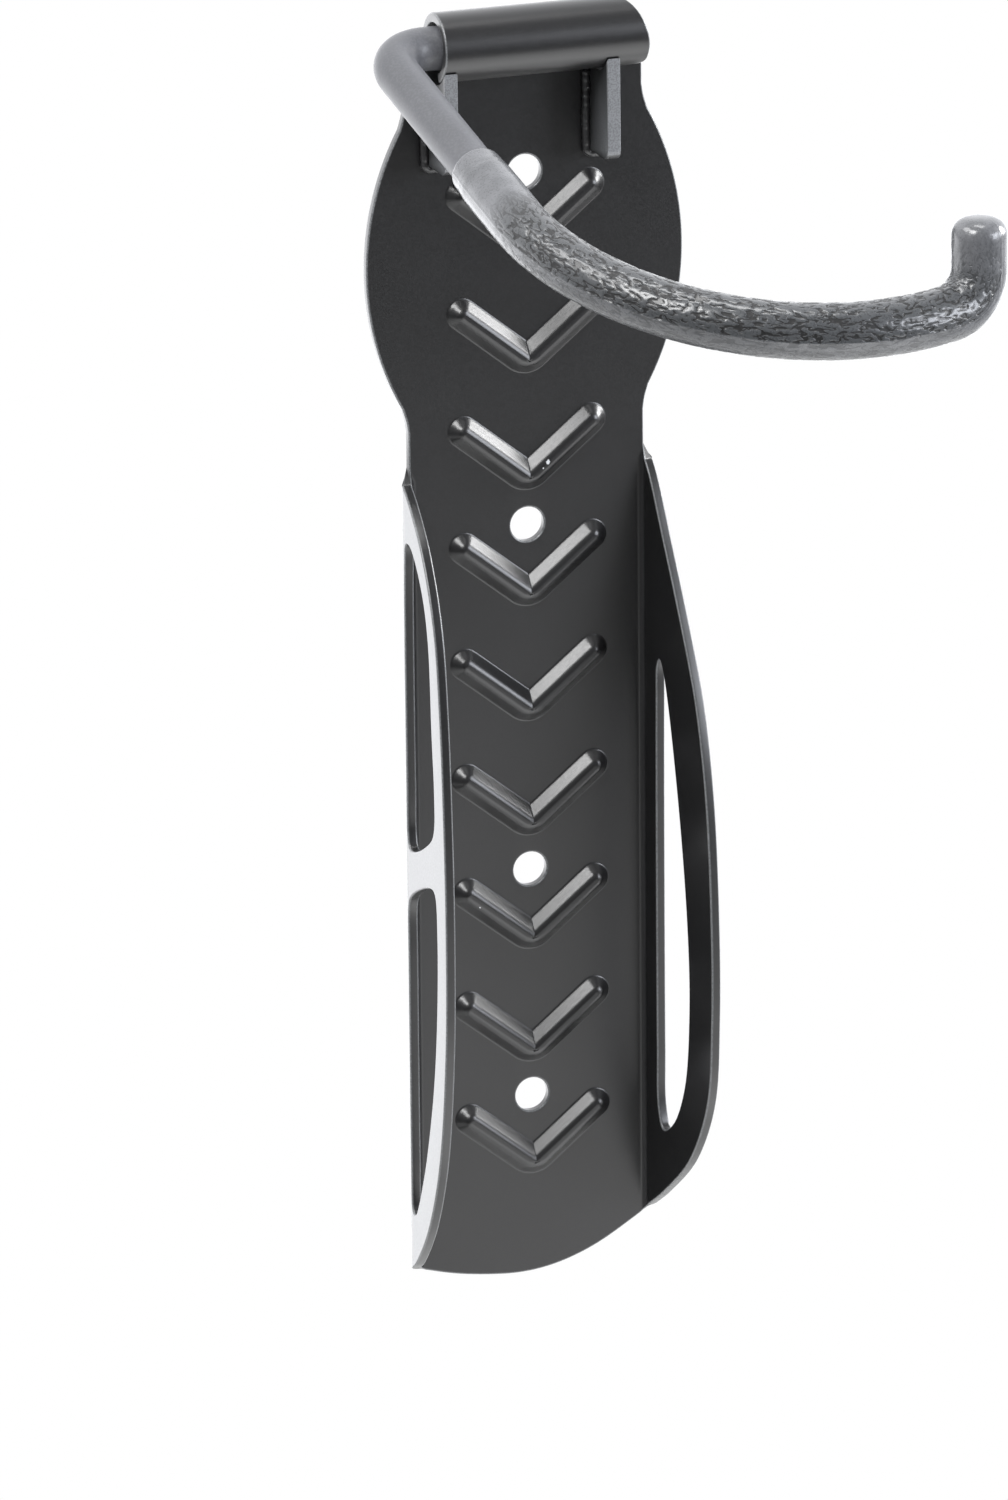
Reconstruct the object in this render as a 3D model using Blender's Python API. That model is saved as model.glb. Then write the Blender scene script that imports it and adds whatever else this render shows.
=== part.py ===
"""Bicycle wall rack: a pressed steel back plate with a rolled barrel and two tyre guards,
a bent steel hook rod through the barrel, and a soft sleeve over the hook.

World frame, metres: X to the right, -Y out of the wall, +Z up.  The origin is on the wall
face (Y = 0), on the centreline, half way up the rack.
"""
import math

import bmesh
import bpy
from mathutils import Vector
from mathutils.geometry import delaunay_2d_cdt

MM = 0.001

# ---------------------------------------------------------------- driving sizes, millimetres
GAP = 0.3                 # clearance between pieces that touch

SHEET = 2.0               # thickness of the back plate
HEIGHT = 265.0            # whole rack, from the barrel's top to the bottom edge
NECK_WIDTH = 49.4         # plate above and below the round head
HEAD_BULGE = 8.4          # how far the round head stands out past the neck, each side
HEAD_CENTRE = 80.0        # height of the head's widest line
HEAD_HALF = 30.2          # half the height of the head
HEAD_FILLET = 3.0         # hollow corner where the head meets the neck
FILLET_OUT = 0.35         # how far out and how far down the middle of that corner lies
FILLET_DOWN = 0.7

FLAT_HALF = NECK_WIDTH / 2 - 1.5    # half width of the flat between the two bends
BEND_INSIDE = 1.3         # inside radius of the guard bends
FLARE = 4.5               # degrees each guard leans outwards
GUARD_TOP = 39.6          # height where the guards start
GUARD_STEP = 2.9          # height of the small step from the neck out to a guard
LEFT_DEPTH = 31.8         # how far the left guard stands out from the wall
RIGHT_DEPTH = 32.8        # how far the right guard stands out from the wall
GUARD_BOTTOM = {-1: -128.3, +1: -121.4}   # height where each guard runs out
CORNER_INSET = 1.2        # how far a guard's rim starts out from its bend

ROD_RADIUS = 4.3
ROD_PLAY = 0.65           # free space between the rod and the barrel's bore
BARREL_OUTER = ROD_RADIUS + ROD_PLAY + SHEET    # outside radius of the rolled barrel
BARREL_WRAP = 250.0       # degrees that the sheet is rolled through
BARREL_LEFT = NECK_WIDTH / 2 - 4.4          # from the centreline to the barrel's left mouth
BARREL_RIGHT_TOP = NECK_WIDTH / 2 - 6.9     # the same to its right mouth, on top
BARREL_RIGHT_FRONT = NECK_WIDTH / 2 - 2.6   # the same, in front
MOUTH_TURN = 16.0         # degrees of the roll in which the left mouth draws in from the neck
FRONT_TURN = 205.0        # roll angle where the right mouth has come out to its front size
CORNER_TURN = 225.0       # roll angle where the right mouth's last corner starts
CORNER_CUT = 1.5          # how much that corner takes off

PITCH = 24.0              # spacing of the chevron beads
CHEVRONS = 9
CHEVRON_FIRST = 87.0      # height of the top chevron's inner vertex
BEAD_HALF = 2.95          # half width of a bead at its foot
BEAD_CREST = 1.15         # half width of the flat on top of a bead
BEAD_RISE = 2.2           # how far a bead stands out
BEAD_ANGLE = 39.0         # degrees, slope of a chevron's arms
BEAD_REACH = 13.4         # from the centreline to the middle of a bead's round end
BEAD_CORNER = 2.6         # how much rounder a bead's outer corner is than its half width

HOLE_RADIUS = 3.5         # screw holes
HOLE_ABOVE = 10.6         # from a chevron's inner vertex up to its screw hole
HOLES_AT = (0, 3, 6, 8)   # chevrons that have a screw hole above them

ROD_CHAMFER = ROD_RADIUS * 0.15
ROD_RIGHT_INSET = 1.5     # rod end back from the barrel's right mouth
ELBOW_AT = NECK_WIDTH / 2 + 6.5     # from the centreline to the corner of the elbow
ELBOW_RADIUS = 8.0
RUN_LEAN = 4.9            # degrees that the straight run closes towards the centreline
HOOK_TILT = 17.35         # degrees that the hook's plane falls below level
HOOK_RADIUS = 54.0        # the big bend
HOOK_PAST = 17.3          # degrees the big bend goes on past its foremost point
TIP_BEND = 8.0            # radius of the upturned tip
TIP_HEIGHT = 17.0         # from the tip's corner to the top of its sleeve
REACH = 120.0             # whole rack, from the wall to the front of the hook

SLEEVE_WALL = 1.15        # from the rod's surface to the sleeve's
SLEEVE_RADIUS = ROD_RADIUS + SLEEVE_WALL
SLEEVE_START = 45.0       # distance along the run, from the barrel's axis
SLEEVE_LIP = 0.4          # chamfer of the sleeve's open end
CROWN = 3.9               # height of the crown that closes the sleeve's tip
CROWN_FULLNESS = 0.75     # under 1 the crown is flatter on top than a ball
ROD_END_SPACE = 0.6       # free space between the rod's end and the sleeve's closed end

GUSSET_THICK = 2.7
GUSSET_DEPTH = 13.0       # from the wall to a gusset's front edge
GUSSET_BOTTOM = 101.0
GUSSET_CORNER = 2.2       # rounding of a gusset's lower front corner
GUSSET_CENTRES = {"gusset_left": 5.7 - NECK_WIDTH / 2, "gusset_right": NECK_WIDTH / 2 - 10.05}

WELD_LEG = 1.7            # leg of the fillet welds
WELD_BELLY = 0.55         # share of the leg at which a weld's face bulges
# section of the weld behind the rod's end: how far out, and its share of the bore
END_WELD = ((0.0, 1.0), (1.2, 1.0), (2.1, 0.7), (2.4, 0.3))

# ---------------------------------------------------------------- fineness
CURVE_STEPS = 5
BEND_STEPS = 4
ROLL_STEP = 15.0          # degrees
ROD_SIDES = 20
ARC_STEP = 7.0            # degrees between rings of a bent tube
HEAD_STEPS = 14           # spans of one side of the round head
HOLE_SIDES = 20
SADDLE_STEPS = 10         # spans of a gusset's hollow under the barrel
SHARP_ANGLE = 35.0        # degrees; a steeper edge is shaded as a crease

# ---------------------------------------------------------------- worked out from the above
BARREL_Z = HEIGHT / 2 - BARREL_OUTER
BOTTOM_Z = -HEIGHT / 2
BEND_OUTER = BEND_INSIDE + SHEET
BEND_TURN = math.radians(90.0 - FLARE)
BEND_ARC = (BEND_INSIDE + SHEET / 2) * BEND_TURN
BEND_DEPTH = BEND_OUTER * (1 - math.cos(BEND_TURN))
ROLL_NEUTRAL = BARREL_OUTER - SHEET / 2


# ---------------------------------------------------------------- outline helpers
def smooth(points, steps=CURVE_STEPS, closed=False):
    """A curve through points, by centripetal interpolation between neighbours."""
    pts = [Vector(p) for p in points]
    count = len(pts)
    if closed:
        spans = [[pts[(i + k) % count] for k in (-1, 0, 1, 2)] for i in range(count)]
    else:
        ends = [2 * pts[0] - pts[1]] + pts + [2 * pts[-1] - pts[-2]]
        spans = [ends[i:i + 4] for i in range(count - 1)]
    curve = []
    for a, b, c, d in spans:
        t1 = (b - a).length ** 0.5
        t2 = t1 + (c - b).length ** 0.5
        t3 = t2 + (d - c).length ** 0.5
        for k in range(steps):
            t = t1 + (t2 - t1) * k / steps
            ab = a.lerp(b, t / t1)
            bc = b.lerp(c, (t - t1) / (t2 - t1))
            cd = c.lerp(d, (t - t2) / (t3 - t2))
            curve.append(ab.lerp(bc, t / t2).lerp(bc.lerp(cd, (t - t1) / (t3 - t1)),
                                                  (t - t1) / (t2 - t1)))
    if not closed:
        curve.append(pts[-1])
    return curve


def arc(centre, radius, start, end, steps):
    """Points of an arc, angles in degrees."""
    turn = [math.radians(start + (end - start) * k / steps) for k in range(steps + 1)]
    return [Vector((centre[0] + radius * math.cos(a), centre[1] + radius * math.sin(a)))
            for a in turn]


def inside(point, loop):
    """Whether a point lies inside a closed loop of points."""
    x, y = point
    hit = False
    for a, b in zip(loop, loop[1:] + loop[:1]):
        if (a[1] > y) != (b[1] > y) and x < a[0] + (y - a[1]) * (b[0] - a[0]) / (b[1] - a[1]):
            hit = not hit
    return hit


# ---------------------------------------------------------------- the blank of the back plate
def guard_u(depth):
    """Distance from the centreline, along the flat blank, of a point at this depth."""
    return FLAT_HALF + BEND_ARC + (depth - BEND_DEPTH) / math.sin(BEND_TURN)


def on_guard(side, points, full_depth):
    """Blank points of a guard from (share of its depth, height) pairs."""
    return [(side * guard_u(share * full_depth), z) for share, z in points]


def barrel_u(turn, side):
    """Distance from the centreline to the barrel's mouth, at a roll angle in degrees."""
    neck = NECK_WIDTH / 2
    if side < 0:
        return -(BARREL_LEFT + (neck - BARREL_LEFT) * max(0.0, 1 - turn / MOUTH_TURN) ** 2)
    top, front = BARREL_RIGHT_TOP, BARREL_RIGHT_FRONT
    if turn < 90.0:
        return top + (neck - top) * math.cos(math.radians(turn)) ** 2
    rise = min(1.0, (turn - 90.0) / (FRONT_TURN - 90.0))
    corner = max(0.0, (turn - CORNER_TURN) / (BARREL_WRAP - CORNER_TURN)) ** 2
    return top + (front - top) * math.sin(math.radians(90 * rise)) - CORNER_CUT * corner


def roll_v(turn):
    """Height along the flat blank of a roll angle in degrees."""
    return BARREL_Z + ROLL_NEUTRAL * math.radians(turn)


def roll_turns():
    """The roll angles at which the barrel has a line of vertices."""
    count = math.ceil(BARREL_WRAP / ROLL_STEP)
    return [BARREL_WRAP * k / count for k in range(count + 1)]


def head_side(side):
    """One side of the round head, from its lower corner up to its upper corner."""
    neck = NECK_WIDTH / 2
    radius = (HEAD_HALF ** 2 + HEAD_BULGE ** 2) / (2 * HEAD_BULGE)
    half = math.degrees(math.asin(HEAD_HALF / radius))
    bow = arc((neck + HEAD_BULGE - radius, HEAD_CENTRE), radius, -half, half,
              HEAD_STEPS)
    low, high = bow[0], bow[-1]
    out = neck + FILLET_OUT
    bow = [Vector((neck, low.y - HEAD_FILLET)), Vector((out, low.y - FILLET_DOWN))] \
        + bow[1:-1] + [Vector((out, high.y + FILLET_DOWN)), Vector((neck, high.y + HEAD_FILLET))]
    return [Vector((side * p.x, p.y)) for p in bow]


LEFT_RIM = ((0.25, 33.6), (0.53, 26.2), (0.79, 13.0), (0.90, -3.0), (0.98, -30.0), (1.0, -50.0),
            (0.965, -73.0), (0.80, -97.3), (0.52, -114.5), (0.20, -125.6))
RIGHT_RIM = ((0.15, 33.6), (0.34, 22.0), (0.57, 7.6), (0.785, -8.0), (0.925, -27.0),
             (0.995, -52.0), (1.0, -72.0), (0.94, -90.0), (0.70, -104.5), (0.31, -116.0))
BOTTOM_EDGE = ((-16.5, 1.6), (-8.0, 0.3), (-2.5, 0.0), (3.0, 0.5), (8.6, 1.9), (14.7, 4.4))


def plate_outline():
    """The outer edge of the blank, anticlockwise from the bottom of the right guard."""
    neck = NECK_WIDTH / 2
    start_u = guard_u(BEND_DEPTH) - BEND_ARC / 2 + CORNER_INSET
    rims = {}
    for side, rim, depth in ((-1, LEFT_RIM, LEFT_DEPTH), (+1, RIGHT_RIM, RIGHT_DEPTH)):
        top = (side * start_u, GUARD_TOP - GUARD_STEP)
        low = (side * start_u, GUARD_BOTTOM[side])
        rims[side] = smooth([top] + on_guard(side, rim, depth) + [low])
    bottom = [(x, BOTTOM_Z + rise) for x, rise in BOTTOM_EDGE]
    bottom = smooth([rims[-1][-1]] + bottom + [rims[+1][-1]])
    turns = roll_turns()
    right_mouth = [(barrel_u(t, +1), roll_v(t)) for t in turns]
    left_mouth = [(barrel_u(t, -1), roll_v(t)) for t in turns]
    outline = bottom[:-1] + rims[+1][::-1] + [Vector((neck, GUARD_TOP))] + head_side(+1)
    outline += right_mouth + left_mouth[::-1]
    outline += head_side(-1)[::-1] + [Vector((-neck, GUARD_TOP))] + rims[-1][:-1]
    return [Vector(p) for p in outline]


def guard_windows():
    """The two windows of the left guard and the one slot of the right guard."""
    upper = ((0.115, 19.0), (0.15, 25.0), (0.27, 25.0), (0.52, 17.8), (0.64, 9.0), (0.70, -9.0),
             (0.745, -21.0), (0.735, -28.0), (0.66, -31.2), (0.16, -38.0), (0.115, -35.5),
             (0.11, -27.0))
    lower = ((0.11, -62.0), (0.115, -51.0), (0.16, -48.3), (0.66, -41.4), (0.745, -42.0),
             (0.785, -51.0), (0.765, -65.0), (0.69, -79.6), (0.56, -93.0), (0.38, -106.0),
             (0.18, -115.4), (0.125, -115.0), (0.11, -104.0))
    slot = ((0.235, -12.0), (0.245, -5.0), (0.28, -3.4), (0.335, -6.2), (0.525, -30.3),
            (0.655, -57.0), (0.675, -74.0), (0.61, -90.0), (0.45, -99.6), (0.30, -102.4),
            (0.238, -98.0), (0.23, -86.0))
    loops = [on_guard(-1, upper, LEFT_DEPTH), on_guard(-1, lower, LEFT_DEPTH),
             on_guard(+1, slot, RIGHT_DEPTH)]
    return [smooth(loop, steps=3, closed=True) for loop in loops]


def screw_holes():
    """The screw holes, as loops on the blank."""
    loops = []
    for index in HOLES_AT:
        centre = (0.0, CHEVRON_FIRST - index * PITCH + HOLE_ABOVE)
        loops.append(arc(centre, HOLE_RADIUS, 0, 360, HOLE_SIDES)[:-1])
    return loops


def chevron_ring(vertex_z, half):
    """A chevron's outline at this half width: sharp inner vertex, rounded everywhere else."""
    slope = math.radians(BEAD_ANGLE)
    middle = vertex_z - BEAD_HALF / math.cos(slope)
    end_z = middle + BEAD_REACH * math.tan(slope)
    ring = [Vector((0.0, middle + half / math.cos(slope)))]
    ring += arc((-BEAD_REACH, end_z), half, 90 - BEAD_ANGLE, 270 - BEAD_ANGLE, 6)
    ring += arc((0.0, middle + BEAD_CORNER / math.cos(slope)), half + BEAD_CORNER,
                270 - BEAD_ANGLE, 270 + BEAD_ANGLE, 4)
    ring += arc((BEAD_REACH, end_z), half, 270 + BEAD_ANGLE, 450 + BEAD_ANGLE, 6)
    return ring


# ---------------------------------------------------------------- folding the blank
def folded(u, v, height):
    """World point of blank point (u, v) at a height above the blank's back face."""
    if v > BARREL_Z:
        turn = (v - BARREL_Z) / ROLL_NEUTRAL
        radius = BARREL_OUTER - height
        return Vector((u, radius * math.cos(turn) - BARREL_OUTER,
                       BARREL_Z + radius * math.sin(turn))) * MM
    side = -1 if u < 0 else 1
    past = abs(u) - FLAT_HALF
    if past <= 0:
        return Vector((u, -height, v)) * MM
    turn = min(past / (BEND_ARC / BEND_TURN), BEND_TURN)
    radius = BEND_OUTER - height
    x = FLAT_HALF + radius * math.sin(turn)
    y = radius * math.cos(turn) - BEND_OUTER
    run = max(0.0, past - BEND_ARC)
    return Vector((side * (x + run * math.cos(turn)), y - run * math.sin(turn), v)) * MM


def is_guard(u, v):
    """Whether a blank point belongs to the bent guards (the head isn't bent)."""
    return v < GUARD_TOP - GUARD_STEP / 2


def place(u, v, height):
    """Fold a blank point, keeping the round head flat."""
    if v <= BARREL_Z and not is_guard(u, v):
        return Vector((u, -height, v)) * MM
    return folded(u, v, height)


def back_plate_mesh():
    """Triangulate the blank once, then lay it out as a front and a back skin with a rim."""
    points, edges, rises = [], [], []

    def add_line(line, rise=0.0, closed=True):
        first = len(points)
        points.extend(Vector(p[:2]) for p in line)
        rises.extend([rise] * len(line))
        last = len(points) - 1
        edges.extend((i, i + 1) for i in range(first, last))
        if closed:
            edges.append((last, first))

    outline = plate_outline()
    cuts = screw_holes() + guard_windows()
    for loop in [outline] + cuts:
        add_line(loop)
    crests = []
    for index in range(CHEVRONS):
        vertex = CHEVRON_FIRST - index * PITCH
        add_line(chevron_ring(vertex, BEAD_HALF))
        crest = chevron_ring(vertex, BEAD_CREST)
        add_line(crest, rise=BEAD_RISE)
        crests.append(crest)
    low = BOTTOM_Z - 1.0
    for side in (-1, 1):
        for k in range(BEND_STEPS + 1):
            u = side * (FLAT_HALF + BEND_ARC * k / BEND_STEPS)
            add_line([(u, low), (u, GUARD_TOP - GUARD_STEP)], closed=False)
    for turn in roll_turns()[:-1]:
        v = roll_v(turn)
        add_line([(barrel_u(turn, -1), v), (barrel_u(turn, +1), v)], closed=False)

    verts, _, faces, origin, _, _ = delaunay_2d_cdt(points, edges, [], 0, 1e-4)
    keep = []
    for face in faces:
        centre = sum((verts[i] for i in face), Vector((0.0, 0.0))) / len(face)
        if inside(centre, outline) and not any(inside(centre, cut) for cut in cuts):
            keep.append(face)
    rise_of = [max((rises[i] for i in ids), default=0.0) for ids in origin]

    bm = bmesh.new()
    used = sorted({i for face in keep for i in face})
    front = {i: bm.verts.new(place(*verts[i], SHEET + rise_of[i])) for i in used}
    back = {i: bm.verts.new(place(*verts[i], rise_of[i])) for i in used}
    for face in keep:
        bm.faces.new([front[i] for i in face])
        bm.faces.new([back[i] for i in reversed(face)])
    rim = {}
    for face in keep:
        for a, b in zip(face, face[1:] + face[:1]):
            if (b, a) in rim:
                del rim[(b, a)]
            else:
                rim[(a, b)] = True
    for a, b in rim:
        bm.faces.new([front[b], front[a], back[a], back[b]])
    return finished(bm)


# ---------------------------------------------------------------- solids
def finished(bm):
    """Turn a bmesh into a mesh whose faces point outwards."""
    bmesh.ops.recalc_face_normals(bm, faces=bm.faces)
    mesh = bpy.data.meshes.new("piece")
    bm.to_mesh(mesh)
    bm.free()
    return mesh


def extruded(outline, low, high):
    """A prism along X from a (y, z) outline, between two X values, in millimetres."""
    bm = bmesh.new()
    near = [bm.verts.new(Vector((low, y, z)) * MM) for y, z in outline]
    far = [bm.verts.new(Vector((high, y, z)) * MM) for y, z in outline]
    bm.faces.new(near)
    bm.faces.new(far[::-1])
    for i in range(len(outline)):
        j = (i + 1) % len(outline)
        bm.faces.new([near[i], far[i], far[j], near[j]])
    return finished(bm)


def gusset_outline():
    """Side view of a gusset, topped by a hollow that follows the barrel's underside."""
    root = -SHEET - GAP
    front = -GUSSET_DEPTH
    clear = BARREL_OUTER + GAP
    start = math.degrees(math.asin((-root - BARREL_OUTER) / clear))
    end = math.degrees(math.asin((GUSSET_DEPTH - BARREL_OUTER) / clear))
    top = []
    for k in range(SADDLE_STEPS + 1):
        lean = math.radians(start + (end - start) * k / SADDLE_STEPS)
        top.append((-BARREL_OUTER - clear * math.sin(lean), BARREL_Z - clear * math.cos(lean)))
    corner = arc((front + GUSSET_CORNER, GUSSET_BOTTOM + GUSSET_CORNER), GUSSET_CORNER,
                 180, 270, 4)
    return top + [tuple(p) for p in corner] + [(root, GUSSET_BOTTOM)]


def weld_mesh(centre):
    """The two fillet welds at a gusset's root, joined under its lower end."""
    half = GUSSET_THICK / 2 + GAP
    face = -SHEET - GAP
    top = BARREL_Z - BARREL_OUTER - GAP
    foot = GUSSET_BOTTOM - GAP
    leg, belly = WELD_LEG, WELD_LEG * WELD_BELLY
    path = [(centre - half, top), (centre - half, foot), (centre + half, foot),
            (centre + half, top)]
    outward = [(-1, 0), (-1, -1), (1, -1), (1, 0)]
    bm = bmesh.new()
    rings = []
    for (x, z), (ox, oz) in zip(path, outward):
        ring = [(x, face, z), (x + ox * leg, face, z + oz * leg),
                (x + ox * belly, face - belly, z + oz * belly), (x, face - leg, z)]
        rings.append([bm.verts.new(Vector(p) * MM) for p in ring])
    for one, two in zip(rings, rings[1:]):
        for i in range(4):
            j = (i + 1) % 4
            bm.faces.new([one[i], one[j], two[j], two[i]])
    bm.faces.new(rings[0][::-1])
    bm.faces.new(rings[-1])
    return finished(bm)


# ---------------------------------------------------------------- the hook's centreline
def hook_point(x, r):
    """World point, millimetres, of a point on the hook's plane at r from the barrel's axis."""
    tilt = math.radians(HOOK_TILT)
    return Vector((x, -BARREL_OUTER - r * math.cos(tilt), BARREL_Z - r * math.sin(tilt)))


def hook_bend():
    """The big bend's centre on the hook's plane, as (x, r), and its start and end angles."""
    tilt, lean = math.radians(HOOK_TILT), math.radians(RUN_LEAN)
    farthest = (REACH - BARREL_OUTER - SLEEVE_RADIUS) / math.cos(tilt)
    centre_r = farthest - HOOK_RADIUS
    run = (centre_r + HOOK_RADIUS * math.sin(lean)) / math.cos(lean)
    centre_x = -ELBOW_AT + run * math.sin(lean) + HOOK_RADIUS * math.cos(lean)
    return (centre_x, centre_r), 180.0 - RUN_LEAN, 90.0 - HOOK_PAST


def bend_between(before, corner, after, radius, steps):
    """Points of a round bend that replaces the corner between two directions."""
    turn = before.angle(after)
    trim = radius * math.tan(turn / 2)
    side = (after - before * before.dot(after)).normalized()
    centre = corner - before * trim + side * radius
    return [centre + (before * math.sin(turn * k / steps) - side * math.cos(turn * k / steps))
            * radius for k in range(steps + 1)]


def hook_path(end_drop):
    """The hook's centreline from the barrel's right mouth to end_drop below the tip's top."""
    lean = math.radians(RUN_LEAN)
    start = Vector((BARREL_RIGHT_TOP - ROD_RIGHT_INSET, -BARREL_OUTER, BARREL_Z))
    run_way = (hook_point(math.sin(lean), math.cos(lean)) - hook_point(0, 0)).normalized()
    elbow = bend_between(Vector((-1, 0, 0)), hook_point(-ELBOW_AT, 0), run_way, ELBOW_RADIUS,
                         round((90 + RUN_LEAN) / ARC_STEP))
    centre, first, last = hook_bend()
    bow = [hook_point(*p) for p in arc(centre, HOOK_RADIUS, first, last,
                                       round((first - last) / ARC_STEP))]
    way = math.radians(HOOK_PAST)
    tip_way = hook_point(math.cos(way), -math.sin(way)) - hook_point(0, 0)
    up = Vector((0, 0, 1))
    tip_turn = tip_way.angle(up)
    corner = bow[-1] + tip_way * TIP_BEND * math.tan(tip_turn / 2)
    tip = bend_between(tip_way, corner, up, TIP_BEND, round(math.degrees(tip_turn) / ARC_STEP))
    top = corner + up * (TIP_HEIGHT - end_drop)
    run = [elbow[-1].lerp(bow[0], k / 4) for k in (1, 2, 3)]
    return [start] + elbow + run + bow + tip[1:] + [top]


def cut_path(path, distance):
    """The rest of a path beyond a distance from the hook's axis, along the run."""
    centre = hook_point(-ELBOW_AT, 0)
    for i, (a, b) in enumerate(zip(path, path[1:])):
        if a.x < -ELBOW_AT / 2 and (b - centre).length >= distance > (a - centre).length:
            span = (distance - (a - centre).length) / ((b - centre).length
                                                       - (a - centre).length)
            return [a.lerp(b, span)] + path[i + 1:]
    raise ValueError("the sleeve starts beyond the hook")


def frames(path):
    """Two vectors across the path at each of its points, carried along without twist."""
    ways = []
    for i in range(len(path)):
        ways.append((path[min(i + 1, len(path) - 1)] - path[max(i - 1, 0)]).normalized())
    across = Vector((0, 0, 1)) if abs(ways[0].z) < 0.9 else Vector((0, 1, 0))
    result = []
    for way in ways:
        across = (across - way * across.dot(way)).normalized()
        result.append((across, way.cross(across)))
    return result


def ring_at(bm, centre, pair, radius):
    """A ring of vertices round a centre."""
    ring = []
    for k in range(ROD_SIDES):
        a = 2 * math.pi * k / ROD_SIDES
        ring.append(bm.verts.new((centre + (pair[0] * math.cos(a) + pair[1] * math.sin(a))
                                  * radius) * MM))
    return ring


def bridge(bm, rings):
    """Skin between consecutive rings."""
    for one, two in zip(rings, rings[1:]):
        for i in range(ROD_SIDES):
            j = (i + 1) % ROD_SIDES
            bm.faces.new([one[i], one[j], two[j], two[i]])


def rod_mesh():
    """The bent rod, with a small chamfer on each end."""
    path = hook_path(SLEEVE_RADIUS + ROD_END_SPACE)
    pairs = frames(path)
    bm = bmesh.new()
    first = (path[1] - path[0]).normalized()
    last = (path[-1] - path[-2]).normalized()
    rings = [ring_at(bm, path[0], pairs[0], ROD_RADIUS - ROD_CHAMFER),
             ring_at(bm, path[0] + first * ROD_CHAMFER, pairs[0], ROD_RADIUS)]
    rings += [ring_at(bm, p, f, ROD_RADIUS) for p, f in zip(path[1:-1], pairs[1:-1])]
    rings += [ring_at(bm, path[-1] - last * ROD_CHAMFER, pairs[-1], ROD_RADIUS),
              ring_at(bm, path[-1], pairs[-1], ROD_RADIUS - ROD_CHAMFER)]
    bridge(bm, rings)
    bm.faces.new(rings[0][::-1])
    bm.faces.new(rings[-1])
    return finished(bm)


def sleeve_mesh():
    """The sleeve: a tube over the rod, open where it starts and closed by a round tip."""
    bore = ROD_RADIUS + GAP
    outer_path = cut_path(hook_path(CROWN), SLEEVE_START)
    inner_path = cut_path(hook_path(SLEEVE_RADIUS + ROD_END_SPACE - GAP), SLEEVE_START)
    bm = bmesh.new()
    outer_pairs, inner_pairs = frames(outer_path), frames(inner_path)
    rings = [ring_at(bm, p, f, bore) for p, f in zip(inner_path, inner_pairs)][::-1]
    inner_end = rings[0]
    rings.append(ring_at(bm, outer_path[0], outer_pairs[0], SLEEVE_RADIUS - SLEEVE_LIP))
    lip = outer_path[0] + (outer_path[1] - outer_path[0]).normalized() * SLEEVE_LIP
    rings.append(ring_at(bm, lip, outer_pairs[0], SLEEVE_RADIUS))
    rings += [ring_at(bm, p, f, SLEEVE_RADIUS)
              for p, f in zip(outer_path[1:], outer_pairs[1:])]
    up = Vector((0, 0, 1))
    for turn in (20, 40, 58, 74):
        a = math.radians(turn)
        rings.append(ring_at(bm, outer_path[-1] + up * CROWN * math.sin(a), outer_pairs[-1],
                             SLEEVE_RADIUS * math.cos(a) ** CROWN_FULLNESS))
    bridge(bm, rings)
    bm.faces.new(inner_end)
    crown = bm.verts.new((outer_path[-1] + up * CROWN) * MM)
    for i in range(ROD_SIDES):
        bm.faces.new([rings[-1][i], rings[-1][(i + 1) % ROD_SIDES], crown])
    return finished(bm)


def rod_weld_mesh():
    """The ring of weld that locks the rod in the barrel, at the hidden right mouth."""
    x = BARREL_RIGHT_TOP - ROD_RIGHT_INSET + GAP
    bm = bmesh.new()
    centre = Vector((x, -BARREL_OUTER, BARREL_Z))
    pair = (Vector((0, 0, 1)), Vector((0, 1, 0)))
    inner = BARREL_OUTER - SHEET - GAP
    rings = [ring_at(bm, centre + Vector((out, 0, 0)), pair, inner * share)
             for out, share in END_WELD]
    bridge(bm, rings)
    bm.faces.new(rings[0][::-1])
    bm.faces.new(rings[-1])
    return finished(bm)


# ---------------------------------------------------------------- materials and assembly
def material(name, colour, roughness, metallic=0.0):
    """A Principled material in a linear colour."""
    made = bpy.data.materials.new(name)
    made.use_nodes = True
    shader = made.node_tree.nodes["Principled BSDF"]
    shader.inputs["Base Color"].default_value = (*colour, 1.0)
    shader.inputs["Roughness"].default_value = roughness
    shader.inputs["Metallic"].default_value = metallic
    return made


def add_piece(name, mesh, finish):
    """Put a mesh in the scene as a named piece."""
    piece = bpy.data.objects.new(name, mesh)
    bpy.context.scene.collection.objects.link(piece)
    mesh.name = name
    mesh.materials.append(finish)
    mesh.shade_smooth()
    mesh.set_sharp_from_angle(angle=math.radians(SHARP_ANGLE))
    return piece


def main():
    """Build the rack."""
    for old in list(bpy.data.objects):
        bpy.data.objects.remove(old)
    coated = material("black_powder_coat", (0.018, 0.018, 0.020), 0.38)
    rod_finish = material("black_coated_rod", (0.030, 0.030, 0.032), 0.32)
    soft = material("dipped_soft_vinyl", (0.045, 0.047, 0.050), 0.30)
    add_piece("back_plate", back_plate_mesh(), coated)
    for name, centre in GUSSET_CENTRES.items():
        half = GUSSET_THICK / 2
        add_piece(name, extruded(gusset_outline(), centre - half, centre + half), coated)
        add_piece(name + "_weld", weld_mesh(centre), coated)
    add_piece("hook_rod", rod_mesh(), rod_finish)
    add_piece("rod_end_weld", rod_weld_mesh(), coated)
    add_piece("hook_sleeve", sleeve_mesh(), soft)


main()
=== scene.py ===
"""Bicycle wall rack: pressed steel plate with a rolled barrel, bent hook rod and soft sleeve.

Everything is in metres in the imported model's frame: X to the right, -Y out of the wall, +Z up,
with the origin on the wall face.  Sizes in the classes are millimetres.
"""
import logging
import math
from dataclasses import dataclass
from enum import Enum

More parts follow.
